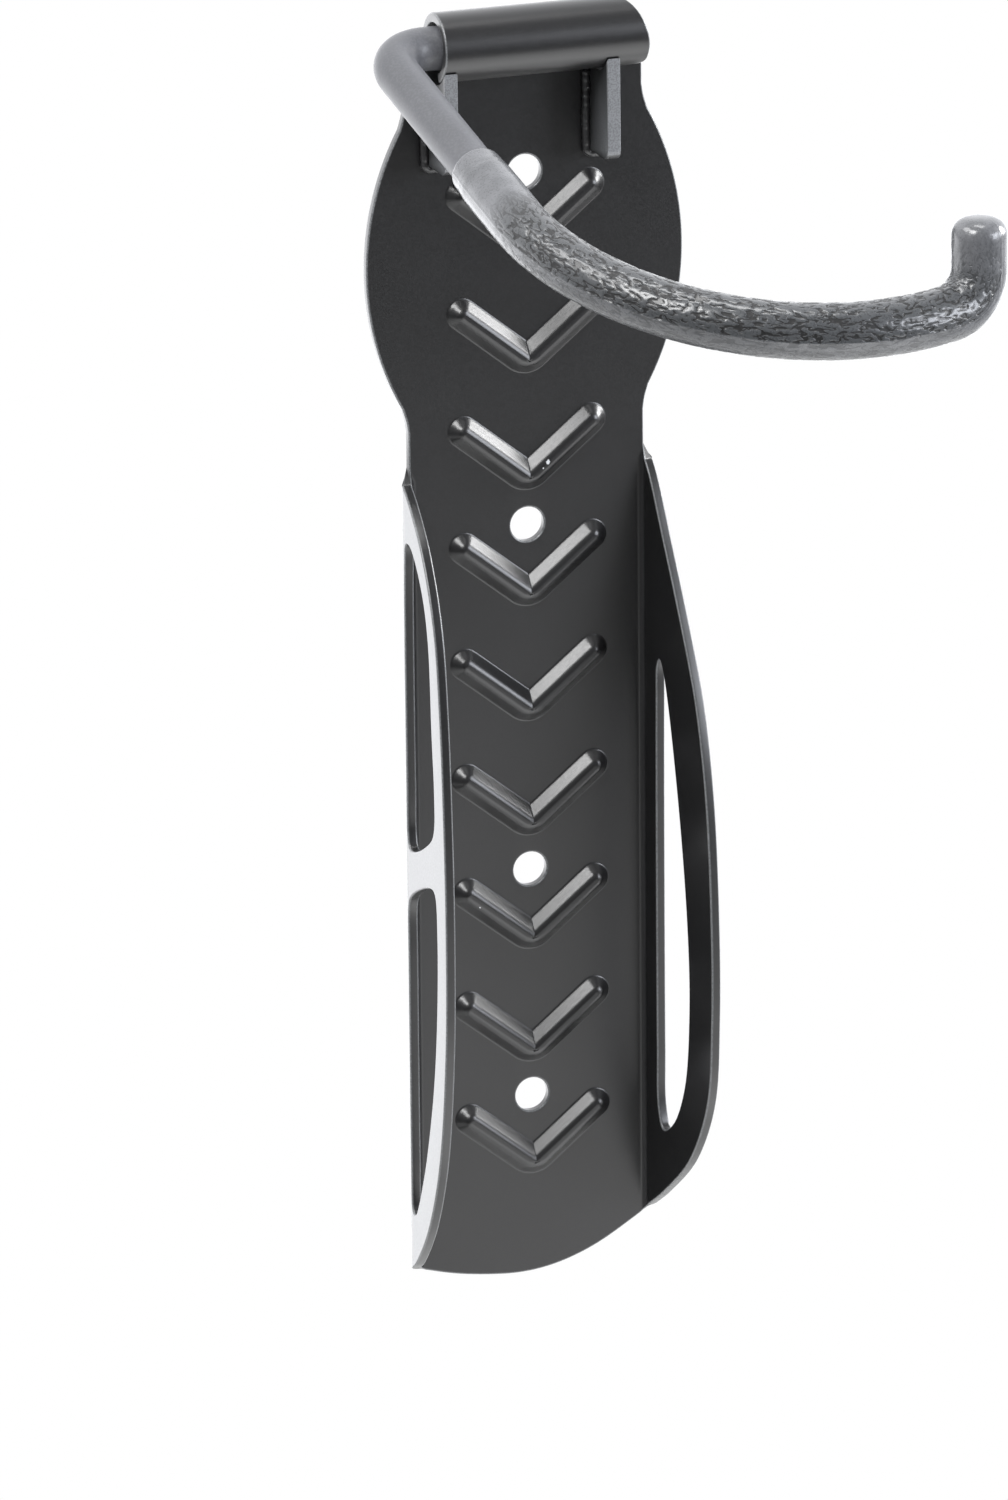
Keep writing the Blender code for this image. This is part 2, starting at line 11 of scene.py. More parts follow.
import bmesh
import bpy
from mathutils import Matrix, Vector
from mathutils.geometry import delaunay_2d_cdt


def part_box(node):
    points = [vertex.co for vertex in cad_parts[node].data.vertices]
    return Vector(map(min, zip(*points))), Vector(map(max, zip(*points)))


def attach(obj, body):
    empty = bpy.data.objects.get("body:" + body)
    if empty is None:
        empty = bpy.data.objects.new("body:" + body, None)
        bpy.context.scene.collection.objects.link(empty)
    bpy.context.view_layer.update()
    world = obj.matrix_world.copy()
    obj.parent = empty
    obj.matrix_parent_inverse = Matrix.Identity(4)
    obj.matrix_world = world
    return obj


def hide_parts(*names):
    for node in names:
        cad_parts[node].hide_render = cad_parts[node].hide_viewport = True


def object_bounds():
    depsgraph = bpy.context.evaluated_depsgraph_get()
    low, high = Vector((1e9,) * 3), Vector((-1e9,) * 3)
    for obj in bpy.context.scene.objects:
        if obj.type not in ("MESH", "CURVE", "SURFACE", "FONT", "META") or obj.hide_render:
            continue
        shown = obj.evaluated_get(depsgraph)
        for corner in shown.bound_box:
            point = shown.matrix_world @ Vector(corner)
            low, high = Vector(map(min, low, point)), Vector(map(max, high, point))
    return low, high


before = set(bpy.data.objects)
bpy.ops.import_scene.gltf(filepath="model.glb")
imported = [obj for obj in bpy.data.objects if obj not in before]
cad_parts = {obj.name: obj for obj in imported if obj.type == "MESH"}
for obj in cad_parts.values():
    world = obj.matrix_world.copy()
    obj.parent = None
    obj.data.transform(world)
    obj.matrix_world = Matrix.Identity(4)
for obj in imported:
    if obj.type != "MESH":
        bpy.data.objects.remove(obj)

CAD_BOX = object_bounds()
MM = 0.001
LOG = logging.getLogger("wall_rack")
Point2 = tuple[float, float]
Point3 = tuple[float, float, float]


class Side(Enum):
    """The two long sides of the plate, by the sign of X."""

    LEFT = -1
    RIGHT = 1


# ---------------------------------------------------------------- node helpers
def add(tree: bpy.types.NodeTree, kind: str, settings: dict | None = None,
        inputs: dict | None = None) -> bpy.types.Node:
    """Add a node with its settings and links.

    Args:
        tree: the tree that gets the node.
        kind: the node's type name.
        settings: properties to set on the node.
        inputs: socket name or index to a value, or to the socket that feeds it.

    Returns:
        The new node.
    """
    node = tree.nodes.new(kind)
    for key, value in (settings or {}).items():
        setattr(node, key, value)
    for key, value in (inputs or {}).items():
        if isinstance(value, bpy.types.NodeSocket):
            tree.links.new(value, node.inputs[key])
        else:
            node.inputs[key].default_value = value
    return node


def linear(code: str) -> tuple[float, float, float, float]:
    """Turn an sRGB hex colour into linear RGBA."""
    shares = [int(code[i:i + 2], 16) / 255 for i in (1, 3, 5)]
    return (*[s / 12.92 if s <= 0.04045 else ((s + 0.055) / 1.055) ** 2.4 for s in shares], 1.0)


def per_mm(size: float) -> float:
    """Texture scale, on coordinates in metres, of a pattern whose cells are size mm across."""
    return 1.0 / (size * MM)


def maths(tree: bpy.types.NodeTree, operation: str, *values: object) -> bpy.types.NodeSocket:
    """One arithmetic step on numbers or sockets, in either kind of tree."""
    node = add(tree, "ShaderNodeMath", {"operation": operation},
               dict(enumerate(values)))
    return node.outputs[0]


def ramp(tree: bpy.types.NodeTree, value: object, low: float, high: float,
         start: float = 0.0, end: float = 1.0) -> bpy.types.NodeSocket:
    """Smooth step of a socket from start to end as it goes from low to high."""
    node = add(tree, "ShaderNodeMapRange", {"interpolation_type": "SMOOTHSTEP"},
               {"Value": value, "From Min": low, "From Max": high, "To Min": start,
                "To Max": end})
    return node.outputs[0]


# ---------------------------------------------------------------- finishes
@dataclass(frozen=True)
class Finish:
    """What every finish has: its name, body colour and gloss."""

    name: str
    colour: str
    roughness: float
    ior: float = 1.5

    def start(self) -> tuple[bpy.types.Material, bpy.types.NodeTree, bpy.types.Node]:
        """Make the material and set the shader's constant values.

        Returns:
            The material, its tree and its Principled shader.
        """
        made = bpy.data.materials.new(self.name)
        made.use_nodes = True
        tree = made.node_tree
        shader = tree.nodes["Principled BSDF"]
        shader.inputs["Base Color"].default_value = linear(self.colour)
        shader.inputs["Roughness"].default_value = self.roughness
        shader.inputs["IOR"].default_value = self.ior
        made.diffuse_color = linear(self.colour)
        return made, tree, shader

    def object_point(self, tree: bpy.types.NodeTree) -> bpy.types.NodeSocket:
        """The socket of Object coordinates."""
        return add(tree, "ShaderNodeTexCoord").outputs["Object"]


@dataclass(frozen=True)
class PowderCoat(Finish):
    """Polyester powder coat, sprayed and baked on steel.

    It gives the eye a satin black with a broad, soft reflection, faint orange peel a few
    millimetres across, a fine grain that breaks up the highlight, cut edges painted greyer (the
    attribute edge), partly a thinner coat and partly a painted highlight along the rims, and a few
    pale chips.
    """

    coat: float = 0.5
    coat_roughness: float = 0.3
    cloud: float = 26.0         # width of the slow changes of tone
    peel: float = 3.2           # width of the orange peel's waves
    peel_height: float = 0.004
    grain: float = 0.35         # width of the fine grain, drawn coarser than real powder
    grain_height: float = 0.0025
    chips: tuple[tuple[float, float, float, float], ...] = ()
    chip_colour: str = "#C9CCCE"
    chip_ragged: float = 0.7    # width of the bits that make a chip's edge ragged
    # colour and share of the rims' paint: partly a thinner coat, partly a painted highlight
    thin_coat_and_highlight_colour: str = "#8C8E90"
    thin_coat_and_highlight_share: float = 0.75

    def build(self) -> bpy.types.Material:
        """Make the material."""
        made, tree, shader = self.start()
        shader.inputs["Coat Weight"].default_value = self.coat
        shader.inputs["Coat Roughness"].default_value = self.coat_roughness
        where = self.object_point(tree)
        waves = add(tree, "ShaderNodeTexNoise", None,
                    {"Vector": where, "Scale": per_mm(self.peel), "Detail": 1.0})
        grain = add(tree, "ShaderNodeTexNoise", None,
                    {"Vector": where, "Scale": per_mm(self.grain), "Detail": 2.0})
        cloud = add(tree, "ShaderNodeTexNoise", None,
                    {"Vector": where, "Scale": per_mm(self.cloud), "Detail": 3.0})
        tone = add(tree, "ShaderNodeMix", {"data_type": "RGBA", "blend_type": "MULTIPLY"},
                   {0: 1.0, 6: linear(self.colour)})
        shade = ramp(tree, cloud.outputs["Fac"], 0.3, 0.7, 0.86, 1.14)
        speck = ramp(tree, grain.outputs["Fac"], 0.35, 0.75, 0.92, 1.22)
        both = maths(tree, "MULTIPLY", shade, speck)
        grey = add(tree, "ShaderNodeCombineColor", None, {0: both, 1: both, 2: both})
        tree.links.new(grey.outputs[0], tone.inputs[7])
        # rims painted lighter: partly a thinner coat, partly a painted highlight on the rounded cut
        # edges
        rim_paint_share = add(tree, "ShaderNodeAttribute", {"attribute_name": "edge"}).outputs["Fac"]
        rim_paint_mask = maths(tree, "MULTIPLY", rim_paint_share, ramp(tree, grain.outputs["Fac"], 0.35, 0.6,
                                                  0.45, self.thin_coat_and_highlight_share))
        tone_with_rim_paint = add(tree, "ShaderNodeMix", {"data_type": "RGBA"},
                   {0: rim_paint_mask, 6: tone.outputs[2], 7: linear(self.thin_coat_and_highlight_colour)})
        colour = tone_with_rim_paint.outputs[2]
        if self.chips:
            colour = self.chipped(tree, where, colour)
        tree.links.new(colour, shader.inputs["Base Color"])
        gloss = ramp(tree, grain.outputs["Fac"], 0.3, 0.7, self.roughness - 0.03,
                     self.roughness + 0.04)
        tree.links.new(gloss, shader.inputs["Roughness"])
        low = add(tree, "ShaderNodeBump", None,
                  {"Strength": 1.0, "Distance": self.peel_height * MM,
                   "Height": waves.outputs["Fac"]})
        fine = add(tree, "ShaderNodeBump", None,
                   {"Strength": 1.0, "Distance": self.grain_height * MM,
                    "Height": grain.outputs["Fac"], "Normal": low.outputs["Normal"]})
        tree.links.new(fine.outputs["Normal"], shader.inputs["Normal"])
        return made

    def chipped(self, tree: bpy.types.NodeTree, where: bpy.types.NodeSocket,
                colour: bpy.types.NodeSocket) -> bpy.types.NodeSocket:
        """Bare spots where the coat has been knocked off.

        Args:
            tree: the material's tree.
            where: Object coordinates.
            colour: the coat's colour.

        Returns:
            The colour with pale chips.
        """
        rag = add(tree, "ShaderNodeTexNoise", None,
                  {"Vector": where, "Scale": per_mm(self.chip_ragged), "Detail": 3.0})
        total: bpy.types.NodeSocket | None = None
        for x, y, z, size in self.chips:
            away = add(tree, "ShaderNodeVectorMath", {"operation": "DISTANCE"},
                       {0: where, 1: (x * MM, y * MM, z * MM)})
            edge = maths(tree, "MULTIPLY_ADD", rag.outputs["Fac"], size * MM * 1.6,
                         -size * MM * 0.3)
            spot = maths(tree, "LESS_THAN", away.outputs["Value"], edge)
            total = spot if total is None else maths(tree, "MAXIMUM", total, spot)
        mixed = add(tree, "ShaderNodeMix", {"data_type": "RGBA"},
                    {0: total, 6: colour, 7: linear(self.chip_colour)})
        return mixed.outputs[2]


@dataclass(frozen=True)
class WeldCoat(PowderCoat):
    """Powder coat over a rough weld bead.

    It gives the eye an uneven dark skin with pinholes and bright flecks of spatter.
    """

    fleck: float = 0.9          # spacing of the spatter flecks
    fleck_patch: float = 2.4    # width of the patches that have flecks

    def build(self) -> bpy.types.Material:
        """Make the material."""
        made = super().build()
        tree = made.node_tree
        shader = tree.nodes["Principled BSDF"]
        where = self.object_point(tree)
        cells = add(tree, "ShaderNodeTexVoronoi", None,
                    {"Vector": where, "Scale": per_mm(self.fleck)})
        bright = ramp(tree, cells.outputs["Distance"], 0.10, 0.17, 1.0, 0.0)
        rare = add(tree, "ShaderNodeTexNoise", None,
                   {"Vector": where, "Scale": per_mm(self.fleck_patch), "Detail": 1.0})
        here = maths(tree, "MULTIPLY", bright, ramp(tree, rare.outputs["Fac"], 0.52, 0.6))
        old = shader.inputs["Base Color"].links[0].from_socket
        mixed = add(tree, "ShaderNodeMix", {"data_type": "RGBA"},
                    {0: here, 6: old, 7: linear(self.chip_colour)})
        tree.links.new(mixed.outputs[2], shader.inputs["Base Color"])
        return made


@dataclass(frozen=True)
class Wrinkles:
    """The crinkled skin of the sleeve: winding grooves, longer along the hook than round it."""

    along: float = 1.65         # width of a cell along the hook
    around: float = 0.74        # width of a cell round the hook
    line: float = 0.075         # how wide a groove is, as a share of the noise's range
    warp: float = 0.7
    breaks: float = 0.42        # level of the second noise below which a groove stops

    def grooves(self, tree: bpy.types.NodeTree,
                wrap: bpy.types.NodeSocket) -> bpy.types.NodeSocket:
        """1 in the bottom of a groove, 0 on the skin between.

        Args:
            tree: a material's or a modifier's tree.
            wrap: unrolled coordinates in millimetres, X along the hook.

        Returns:
            The socket of the groove's depth share.
        """
        squeezed = add(tree, "ShaderNodeVectorMath", {"operation": "MULTIPLY"},
                       {0: wrap, 1: (1 / self.along, 1 / self.around, 1 / self.around)})
        field = add(tree, "ShaderNodeTexNoise", None,
                    {"Vector": squeezed.outputs[0], "Scale": 0.62, "Detail": 1.6,
                     "Roughness": 0.45, "Distortion": self.warp})
        stops = add(tree, "ShaderNodeTexNoise", None,
                    {"Vector": squeezed.outputs[0], "Scale": 0.9, "Detail": 0.0})
        level = maths(tree, "ABSOLUTE", maths(tree, "SUBTRACT", field.outputs["Fac"], 0.5))
        return maths(tree, "MULTIPLY", ramp(tree, level, self.line * 0.5, self.line, 1.0, 0.0),
                     ramp(tree, stops.outputs["Fac"], self.breaks - 0.07, self.breaks))


@dataclass(frozen=True)
class SoftVinyl(Finish):
    """Plastisol vinyl, dipped or moulded over the rod.

    It gives the eye a charcoal grey with a greasy sheen, painted shade in the grooves of its
    crinkled skin, and a painted sheen where the skin is smooth: a lighter, cloudy, slightly grainy
    colour, with the crinkled skin darker.
    """

    groove_shade_colour: str = "#060607"
    smooth_sheen_colour: str = "#66676A"
    coat: float = 0.55
    coat_roughness: float = 0.16
    relief: float = 0.11        # depth that the grooves are shaded with
    wrinkles: Wrinkles = Wrinkles()

    def build(self) -> bpy.types.Material:
        """Make the material."""
        made, tree, shader = self.start()
        shader.inputs["Coat Weight"].default_value = self.coat
        shader.inputs["Coat Roughness"].default_value = self.coat_roughness
        wrap = add(tree, "ShaderNodeAttribute", {"attribute_name": "wrap"}).outputs["Vector"]
        crinkled = add(tree, "ShaderNodeAttribute", {"attribute_name": "crinkled"}).outputs["Fac"]
        groove = maths(tree, "MULTIPLY", self.wrinkles.grooves(tree, wrap), crinkled)
        smooth_share = maths(tree, "SUBTRACT", 1.0, crinkled)
        cloud = add(tree, "ShaderNodeTexNoise", None, {"Vector": wrap, "Scale": 0.22,
                                                       "Detail": 4.0, "Roughness": 0.6})
        grain = add(tree, "ShaderNodeTexNoise", None, {"Vector": wrap, "Scale": 2.2,
                                                       "Detail": 3.0})
        # painted sheen: smooth skin gets the lighter colour, crinkled skin stays darker as painted
        # shade, with a cloudy variation
        smooth_sheen = maths(tree, "MULTIPLY", ramp(tree, cloud.outputs["Fac"], 0.3, 0.7, 0.45, 1.0),
                      ramp(tree, smooth_share, 0.0, 1.0, 0.12, 1.0))
        skin = add(tree, "ShaderNodeMix", {"data_type": "RGBA"},
                   {0: smooth_sheen, 6: linear(self.colour), 7: linear(self.smooth_sheen_colour)})
        mottled = add(tree, "ShaderNodeMix", {"data_type": "RGBA", "blend_type": "MULTIPLY"},
                      {0: 1.0, 6: skin.outputs[2]})
        shade = ramp(tree, grain.outputs["Fac"], 0.3, 0.7, 0.93, 1.07)
        grey = add(tree, "ShaderNodeCombineColor", None, {0: shade, 1: shade, 2: shade})
        tree.links.new(grey.outputs[0], mottled.inputs[7])
        # painted shade: the grooves are coloured near black, darker than their depth alone would
        # shade them
        groove_shaded = add(tree, "ShaderNodeMix", {"data_type": "RGBA"},
                   {0: groove, 6: mottled.outputs[2], 7: linear(self.groove_shade_colour)})
        tree.links.new(groove_shaded.outputs[2], shader.inputs["Base Color"])
        gloss = maths(tree, "ADD", ramp(tree, grain.outputs["Fac"], 0.3, 0.7,
                                        self.roughness - 0.05, self.roughness + 0.06),
                      maths(tree, "MULTIPLY", groove, 0.25))
        tree.links.new(gloss, shader.inputs["Roughness"])
        shallow = maths(tree, "SUBTRACT", maths(tree, "MULTIPLY", grain.outputs["Fac"], 0.22),
                        groove)
        bump = add(tree, "ShaderNodeBump", None, {"Strength": 1.0, "Distance": self.relief * MM,
                                                  "Height": shallow})
        tree.links.new(bump.outputs["Normal"], shader.inputs["Normal"])
        return made


@dataclass(frozen=True)
class FloorPaper(Finish):
    """Matt pale backdrop paper: it gives the eye nothing but a soft even white."""

    def build(self) -> bpy.types.Material:
        """Make the material."""
        made, tree, shader = self.start()
        fibre = add(tree, "ShaderNodeTexNoise", None,
                    {"Vector": self.object_point(tree), "Scale": per_mm(4.0), "Detail": 3.0})
        bump = add(tree, "ShaderNodeBump", None, {"Strength": 0.2, "Distance": 0.05 * MM,
                                                  "Height": fibre.outputs["Fac"]})
        tree.links.new(bump.outputs["Normal"], shader.inputs["Normal"])
        return made


# ---------------------------------------------------------------- shared shaping
def smooth(points: list, steps: int, closed: bool = False) -> list[Vector]:
    """A curve through points, by centripetal interpolation between neighbours.

    Args:
        points: the points to pass through.
        steps: parts that each span is cut into.
        closed: whether the last point joins the first.

    Returns:
        The finer list of points.
    """
    pts = [Vector(p) for p in points]
    count = len(pts)
    if closed:
        spans = [[pts[(i + k) % count] for k in (-1, 0, 1, 2)] for i in range(count)]
    else:
        ends = [2 * pts[0] - pts[1]] + pts + [2 * pts[-1] - pts[-2]]
        spans = [ends[i:i + 4] for i in range(count - 1)]
    curve = []
    for a, b, c, d in spans:
        t1 = (b - a).length ** 0.5
        t2 = t1 + (c - b).length ** 0.5
        t3 = t2 + (d - c).length ** 0.5
        for k in range(steps):
            t = t1 + (t2 - t1) * k / steps
            ab = a.lerp(b, t / t1)
            bc = b.lerp(c, (t - t1) / (t2 - t1))
            cd = c.lerp(d, (t - t2) / (t3 - t2))
            curve.append(ab.lerp(bc, t / t2).lerp(bc.lerp(cd, (t - t1) / (t3 - t1)),
                                                  (t - t1) / (t2 - t1)))
    if not closed:
        curve.append(pts[-1])
    return curve


def arc(centre: Point2, radius: float, start: float, end: float, steps: int) -> list[Vector]:
    """Points of an arc on a plane, angles in degrees."""
    turn = [math.radians(start + (end - start) * k / steps) for k in range(steps + 1)]
    return [Vector((centre[0] + radius * math.cos(a), centre[1] + radius * math.sin(a)))
            for a in turn]


def inside(point: Vector, loop: list) -> bool:
    """Whether a point lies inside a closed loop of points."""
    x, y = point
    hit = False
    for a, b in zip(loop, loop[1:] + loop[:1]):
        if (a[1] > y) != (b[1] > y) and x < a[0] + (y - a[1]) * (b[0] - a[0]) / (b[1] - a[1]):
            hit = not hit
    return hit


def closed_mesh(bm: bmesh.types.BMesh, name: str, merge: float = 0.0005,
                flats: bool = False) -> bpy.types.Mesh:
    """Merge doubles, point the faces outwards and make a smooth-shaded mesh.

    Args:
        bm: the shape, which is freed.
        name: name of the mesh.
        merge: distance in millimetres below which points become one.
        flats: whether large flat faces keep their own shading, and only the small faces of
            roundings next to them bend.

    Returns:
        The finished mesh.
    """
    bmesh.ops.remove_doubles(bm, verts=bm.verts, dist=merge * MM)
    bmesh.ops.dissolve_degenerate(bm, edges=bm.edges, dist=merge * MM / 2)
    bmesh.ops.recalc_face_normals(bm, faces=bm.faces)
    mesh = bpy.data.meshes.new(name)
    bm.to_mesh(mesh)
    bm.free()
    mesh.shade_smooth()
    if flats:
        normals = [Vector((0.0, 0.0, 0.0)) for _ in mesh.vertices]
        for face in mesh.polygons:
            for i in face.vertices:
                normals[i] += face.normal * face.area
        mesh.normals_split_custom_set_from_vertices([n.normalized() for n in normals])
    else:
        mesh.set_sharp_from_angle(angle=math.radians(48))
    return mesh


def put(name: str, mesh: bpy.types.Mesh, finish: bpy.types.Material,
        node: str) -> None:
    """Put a finished mesh in the scene in place of its CAD node.

    Args:
        name: the piece's name.
        mesh: its mesh, in the model's frame.
        finish: its material.
        node: the CAD node that it stands for.
    """
    piece = bpy.data.objects.new(name, mesh)
    bpy.context.scene.collection.objects.link(piece)
    mesh.materials.clear()
    mesh.materials.append(finish)
    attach(piece, "root")
    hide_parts(node)
    LOG.info("%s: %d faces", name, len(mesh.polygons))


# ---------------------------------------------------------------- the back plate
@dataclass
class BackPlate:
    """The pressed plate: round head, rolled barrel, chevron beads and two tyre guards."""

    finish: bpy.types.Material
    sheet: float = 2.0
    height: float = 265.0
    neck_width: float = 49.4
    head_bulge: float = 8.4
    head_centre: float = 80.0
    head_half: float = 30.2
    head_fillet: float = 3.0
    flat_half: float = 23.2
    bend_inside: float = 1.3
    flare: float = 4.5
    guard_top: float = 39.6
    guard_step: float = 2.9
    left_depth: float = 31.8
    right_depth: float = 32.8
    left_bottom: float = -128.3
    right_bottom: float = -121.4
    corner_inset: float = 1.2
    barrel_outer: float = 6.95
    barrel_wrap: float = 250.0
    barrel_left: float = 20.3
    barrel_right_top: float = 17.8
    barrel_right_front: float = 22.1
    mouth_turn: float = 16.0      # degrees of the roll in which the left mouth draws in
    front_turn: float = 205.0     # roll angle where the right mouth has its front size
    corner_turn: float = 225.0    # roll angle where the right mouth's last corner starts
    corner_cut: float = 1.5
    pitch: float = 24.0
    chevrons: int = 9
    chevron_first: float = 87.0
    bead_half: float = 2.95
    bead_angle: float = 39.0
    bead_reach: float = 13.4
    bead_corner: float = 2.6      # how much rounder a bead's outer corner is than its section
    hole_radius: float = 3.5
    hole_above: float = 10.6
    holes_at: tuple[int, ...] = (0, 3, 6, 8)
    edge_round: float = 0.42
    edge_steps: int = 4
    roll_step: float = 4.0
    round_steps: int = 56         # spans of a screw hole, and of one side of the head
    rim_steps: int = 16           # spans between two points of a guard's rim
    cut_steps: int = 12           # the same on the windows and the bottom edge
    bend_steps: int = 12
    bead_end_steps: int = 14
    bead_corner_steps: int = 12
    bead_foot: float = 3.1        # half width at the foot of a bead's flanks
    bead_hollow: float = 0.25     # reach of the small hollow at that foot
    bead_slope: float = 45.0      # degrees, its straight flanks
    bead_crest: float = 0.3       # half width of the flat on its crest
    bead_rise: float = 2.2
    # how the straights are divided: closely next to the inner vertex, which stays crisp
    bead_spans: tuple[float, ...] = (0.012, 0.06, 0.2, 0.4, 0.6, 0.8)
    left_rim: tuple[Point2, ...] = ((0.25, 33.6), (0.53, 26.2), (0.79, 13.0), (0.90, -3.0),
                                    (0.98, -30.0), (1.0, -50.0), (0.965, -73.0),
                                    (0.80, -97.3), (0.52, -114.5), (0.20, -125.6))
    right_rim: tuple[Point2, ...] = ((0.15, 33.6), (0.34, 22.0), (0.57, 7.6), (0.785, -8.0),
                                     (0.925, -27.0), (0.995, -52.0), (1.0, -72.0),
                                     (0.94, -90.0), (0.70, -104.5), (0.31, -116.0))
    bottom_edge: tuple[Point2, ...] = ((-16.5, 1.6), (-8.0, 0.3), (-2.5, 0.0), (3.0, 0.5),
                                       (8.6, 1.9), (14.7, 4.4))
    upper_window: tuple[Point2, ...] = ((0.115, 19.0), (0.15, 25.0), (0.27, 25.0),
                                        (0.52, 17.8), (0.64, 9.0), (0.70, -9.0),
                                        (0.745, -21.0), (0.735, -28.0), (0.66, -31.2),
                                        (0.16, -38.0), (0.115, -35.5), (0.11, -27.0))
    lower_window: tuple[Point2, ...] = ((0.11, -62.0), (0.115, -51.0), (0.16, -48.3),
                                        (0.66, -41.4), (0.745, -42.0), (0.785, -51.0),
                                        (0.765, -65.0), (0.69, -79.6), (0.56, -93.0),
                                        (0.38, -106.0), (0.18, -115.4), (0.125, -115.0),
                                        (0.11, -104.0))
    right_slot: tuple[Point2, ...] = ((0.235, -12.0), (0.245, -5.0), (0.28, -3.4),
                                      (0.335, -6.2), (0.525, -30.3), (0.655, -57.0),
                                      (0.675, -74.0), (0.61, -90.0), (0.45, -99.6),
                                      (0.30, -102.4), (0.238, -98.0), (0.23, -86.0))

    def __post_init__(self) -> None:
        """Work out what follows from the sizes."""
        self.barrel_z = self.height / 2 - self.barrel_outer
        self.bottom_z = -self.height / 2
        self.bend_outer = self.bend_inside + self.sheet
        self.bend_turn = math.radians(90.0 - self.flare)
        self.bend_arc = (self.bend_inside + self.sheet / 2) * self.bend_turn
        self.bend_depth = self.bend_outer * (1 - math.cos(self.bend_turn))
        self.roll_neutral = self.barrel_outer - self.sheet / 2

    def guard_u(self, depth: float) -> float:
        """Distance from the centreline, on the flat blank, of a point at this depth."""
        return self.flat_half + self.bend_arc + (depth - self.bend_depth) / math.sin(self.bend_turn)

    def on_guard(self, side: Side, points: tuple[Point2, ...], depth: float) -> list[Point2]:
        """Blank points of a guard from (share of its depth, height) pairs."""
        return [(side.value * self.guard_u(share * depth), z) for share, z in points]

    def barrel_u(self, turn: float, side: Side) -> float:
        """Distance from the centreline to the barrel's mouth, at a roll angle in degrees."""
        neck = self.neck_width / 2
        if side is Side.LEFT:
            return -(self.barrel_left
                     + (neck - self.barrel_left) * max(0.0, 1 - turn / self.mouth_turn) ** 2)
        top, front = self.barrel_right_top, self.barrel_right_front
        if turn < 90.0:
            return top + (neck - top) * math.cos(math.radians(turn)) ** 2
        rise = min(1.0, (turn - 90.0) / (self.front_turn - 90.0))
        corner = max(0.0, (turn - self.corner_turn)
                     / (self.barrel_wrap - self.corner_turn)) ** 2
        return top + (front - top) * math.sin(math.radians(90 * rise)) - self.corner_cut * corner

    def roll_v(self, turn: float) -> float:
        """Height along the flat blank of a roll angle in degrees."""
        return self.barrel_z + self.roll_neutral * math.radians(turn)

    def roll_turns(self) -> list[float]:
        """The roll angles at which the barrel has a line of vertices."""
        count = math.ceil(self.barrel_wrap / self.roll_step)
        return [self.barrel_wrap * k / count for k in range(count + 1)]

    def head_side(self, side: Side) -> list[Vector]:
        """One side of the round head, from its lower corner up to its upper corner."""
        neck = self.neck_width / 2
        radius = (self.head_half ** 2 + self.head_bulge ** 2) / (2 * self.head_bulge)
        half = math.degrees(math.asin(self.head_half / radius))
        bow = arc((neck + self.head_bulge - radius, self.head_centre), radius, -half, half,
                  self.round_steps)
        low, high = bow[0], bow[-1]
        under = [(neck, low.y - self.head_fillet), (neck + 0.35, low.y - 0.7), bow[2]]
        over = [bow[-3], (neck + 0.35, high.y + 0.7), (neck, high.y + self.head_fillet)]
        line = smooth(under, 5) + bow[3:-3] + smooth(over, 5)
        return [Vector((side.value * p.x, p.y)) for p in line]

    def outline(self) -> list[Vector]:
        """The outer edge of the blank, anticlockwise from the bottom of the left guard."""
        neck = self.neck_width / 2
        start_u = self.guard_u(self.bend_depth) - self.bend_arc / 2 + self.corner_inset
        rims = {}
        for side, rim, depth, low in ((Side.LEFT, self.left_rim, self.left_depth,
                                       self.left_bottom),
                                      (Side.RIGHT, self.right_rim, self.right_depth,
                                       self.right_bottom)):
            top = (side.value * start_u, self.guard_top - self.guard_step)
            foot = (side.value * start_u, low)
            rims[side] = smooth([top] + self.on_guard(side, rim, depth) + [foot],
                                self.rim_steps)
        left, right = rims[Side.LEFT], rims[Side.RIGHT]
        bottom = [(x, self.bottom_z + rise) for x, rise in self.bottom_edge]
        bottom = smooth([left[-1]] + bottom + [right[-1]], self.cut_steps)
        turns = self.roll_turns()
        right_mouth = [(self.barrel_u(t, Side.RIGHT), self.roll_v(t)) for t in turns]
        left_mouth = [(self.barrel_u(t, Side.LEFT), self.roll_v(t)) for t in turns]
        line = bottom[:-1] + right[::-1] + [Vector((neck, self.guard_top))]
        line += self.head_side(Side.RIGHT) + right_mouth + left_mouth[::-1]
        line += self.head_side(Side.LEFT)[::-1] + [Vector((-neck, self.guard_top))] + left[:-1]
        return [Vector(p) for p in line]

    def cuts(self) -> list[list[Vector]]:
        """The screw holes and the guards' windows, as loops on the blank."""
        loops = []
        for index in self.holes_at:
            centre = (0.0, self.chevron_first - index * self.pitch + self.hole_above)
            loops.append(arc(centre, self.hole_radius, 0, 360,
                        self.round_steps)[:-1])
        for side, window, depth in ((Side.LEFT, self.upper_window, self.left_depth),
                                    (Side.LEFT, self.lower_window, self.left_depth),
                                    (Side.RIGHT, self.right_slot, self.right_depth)):
            loops.append(smooth(self.on_guard(side, window, depth), self.cut_steps,
                                 closed=True))
        return loops

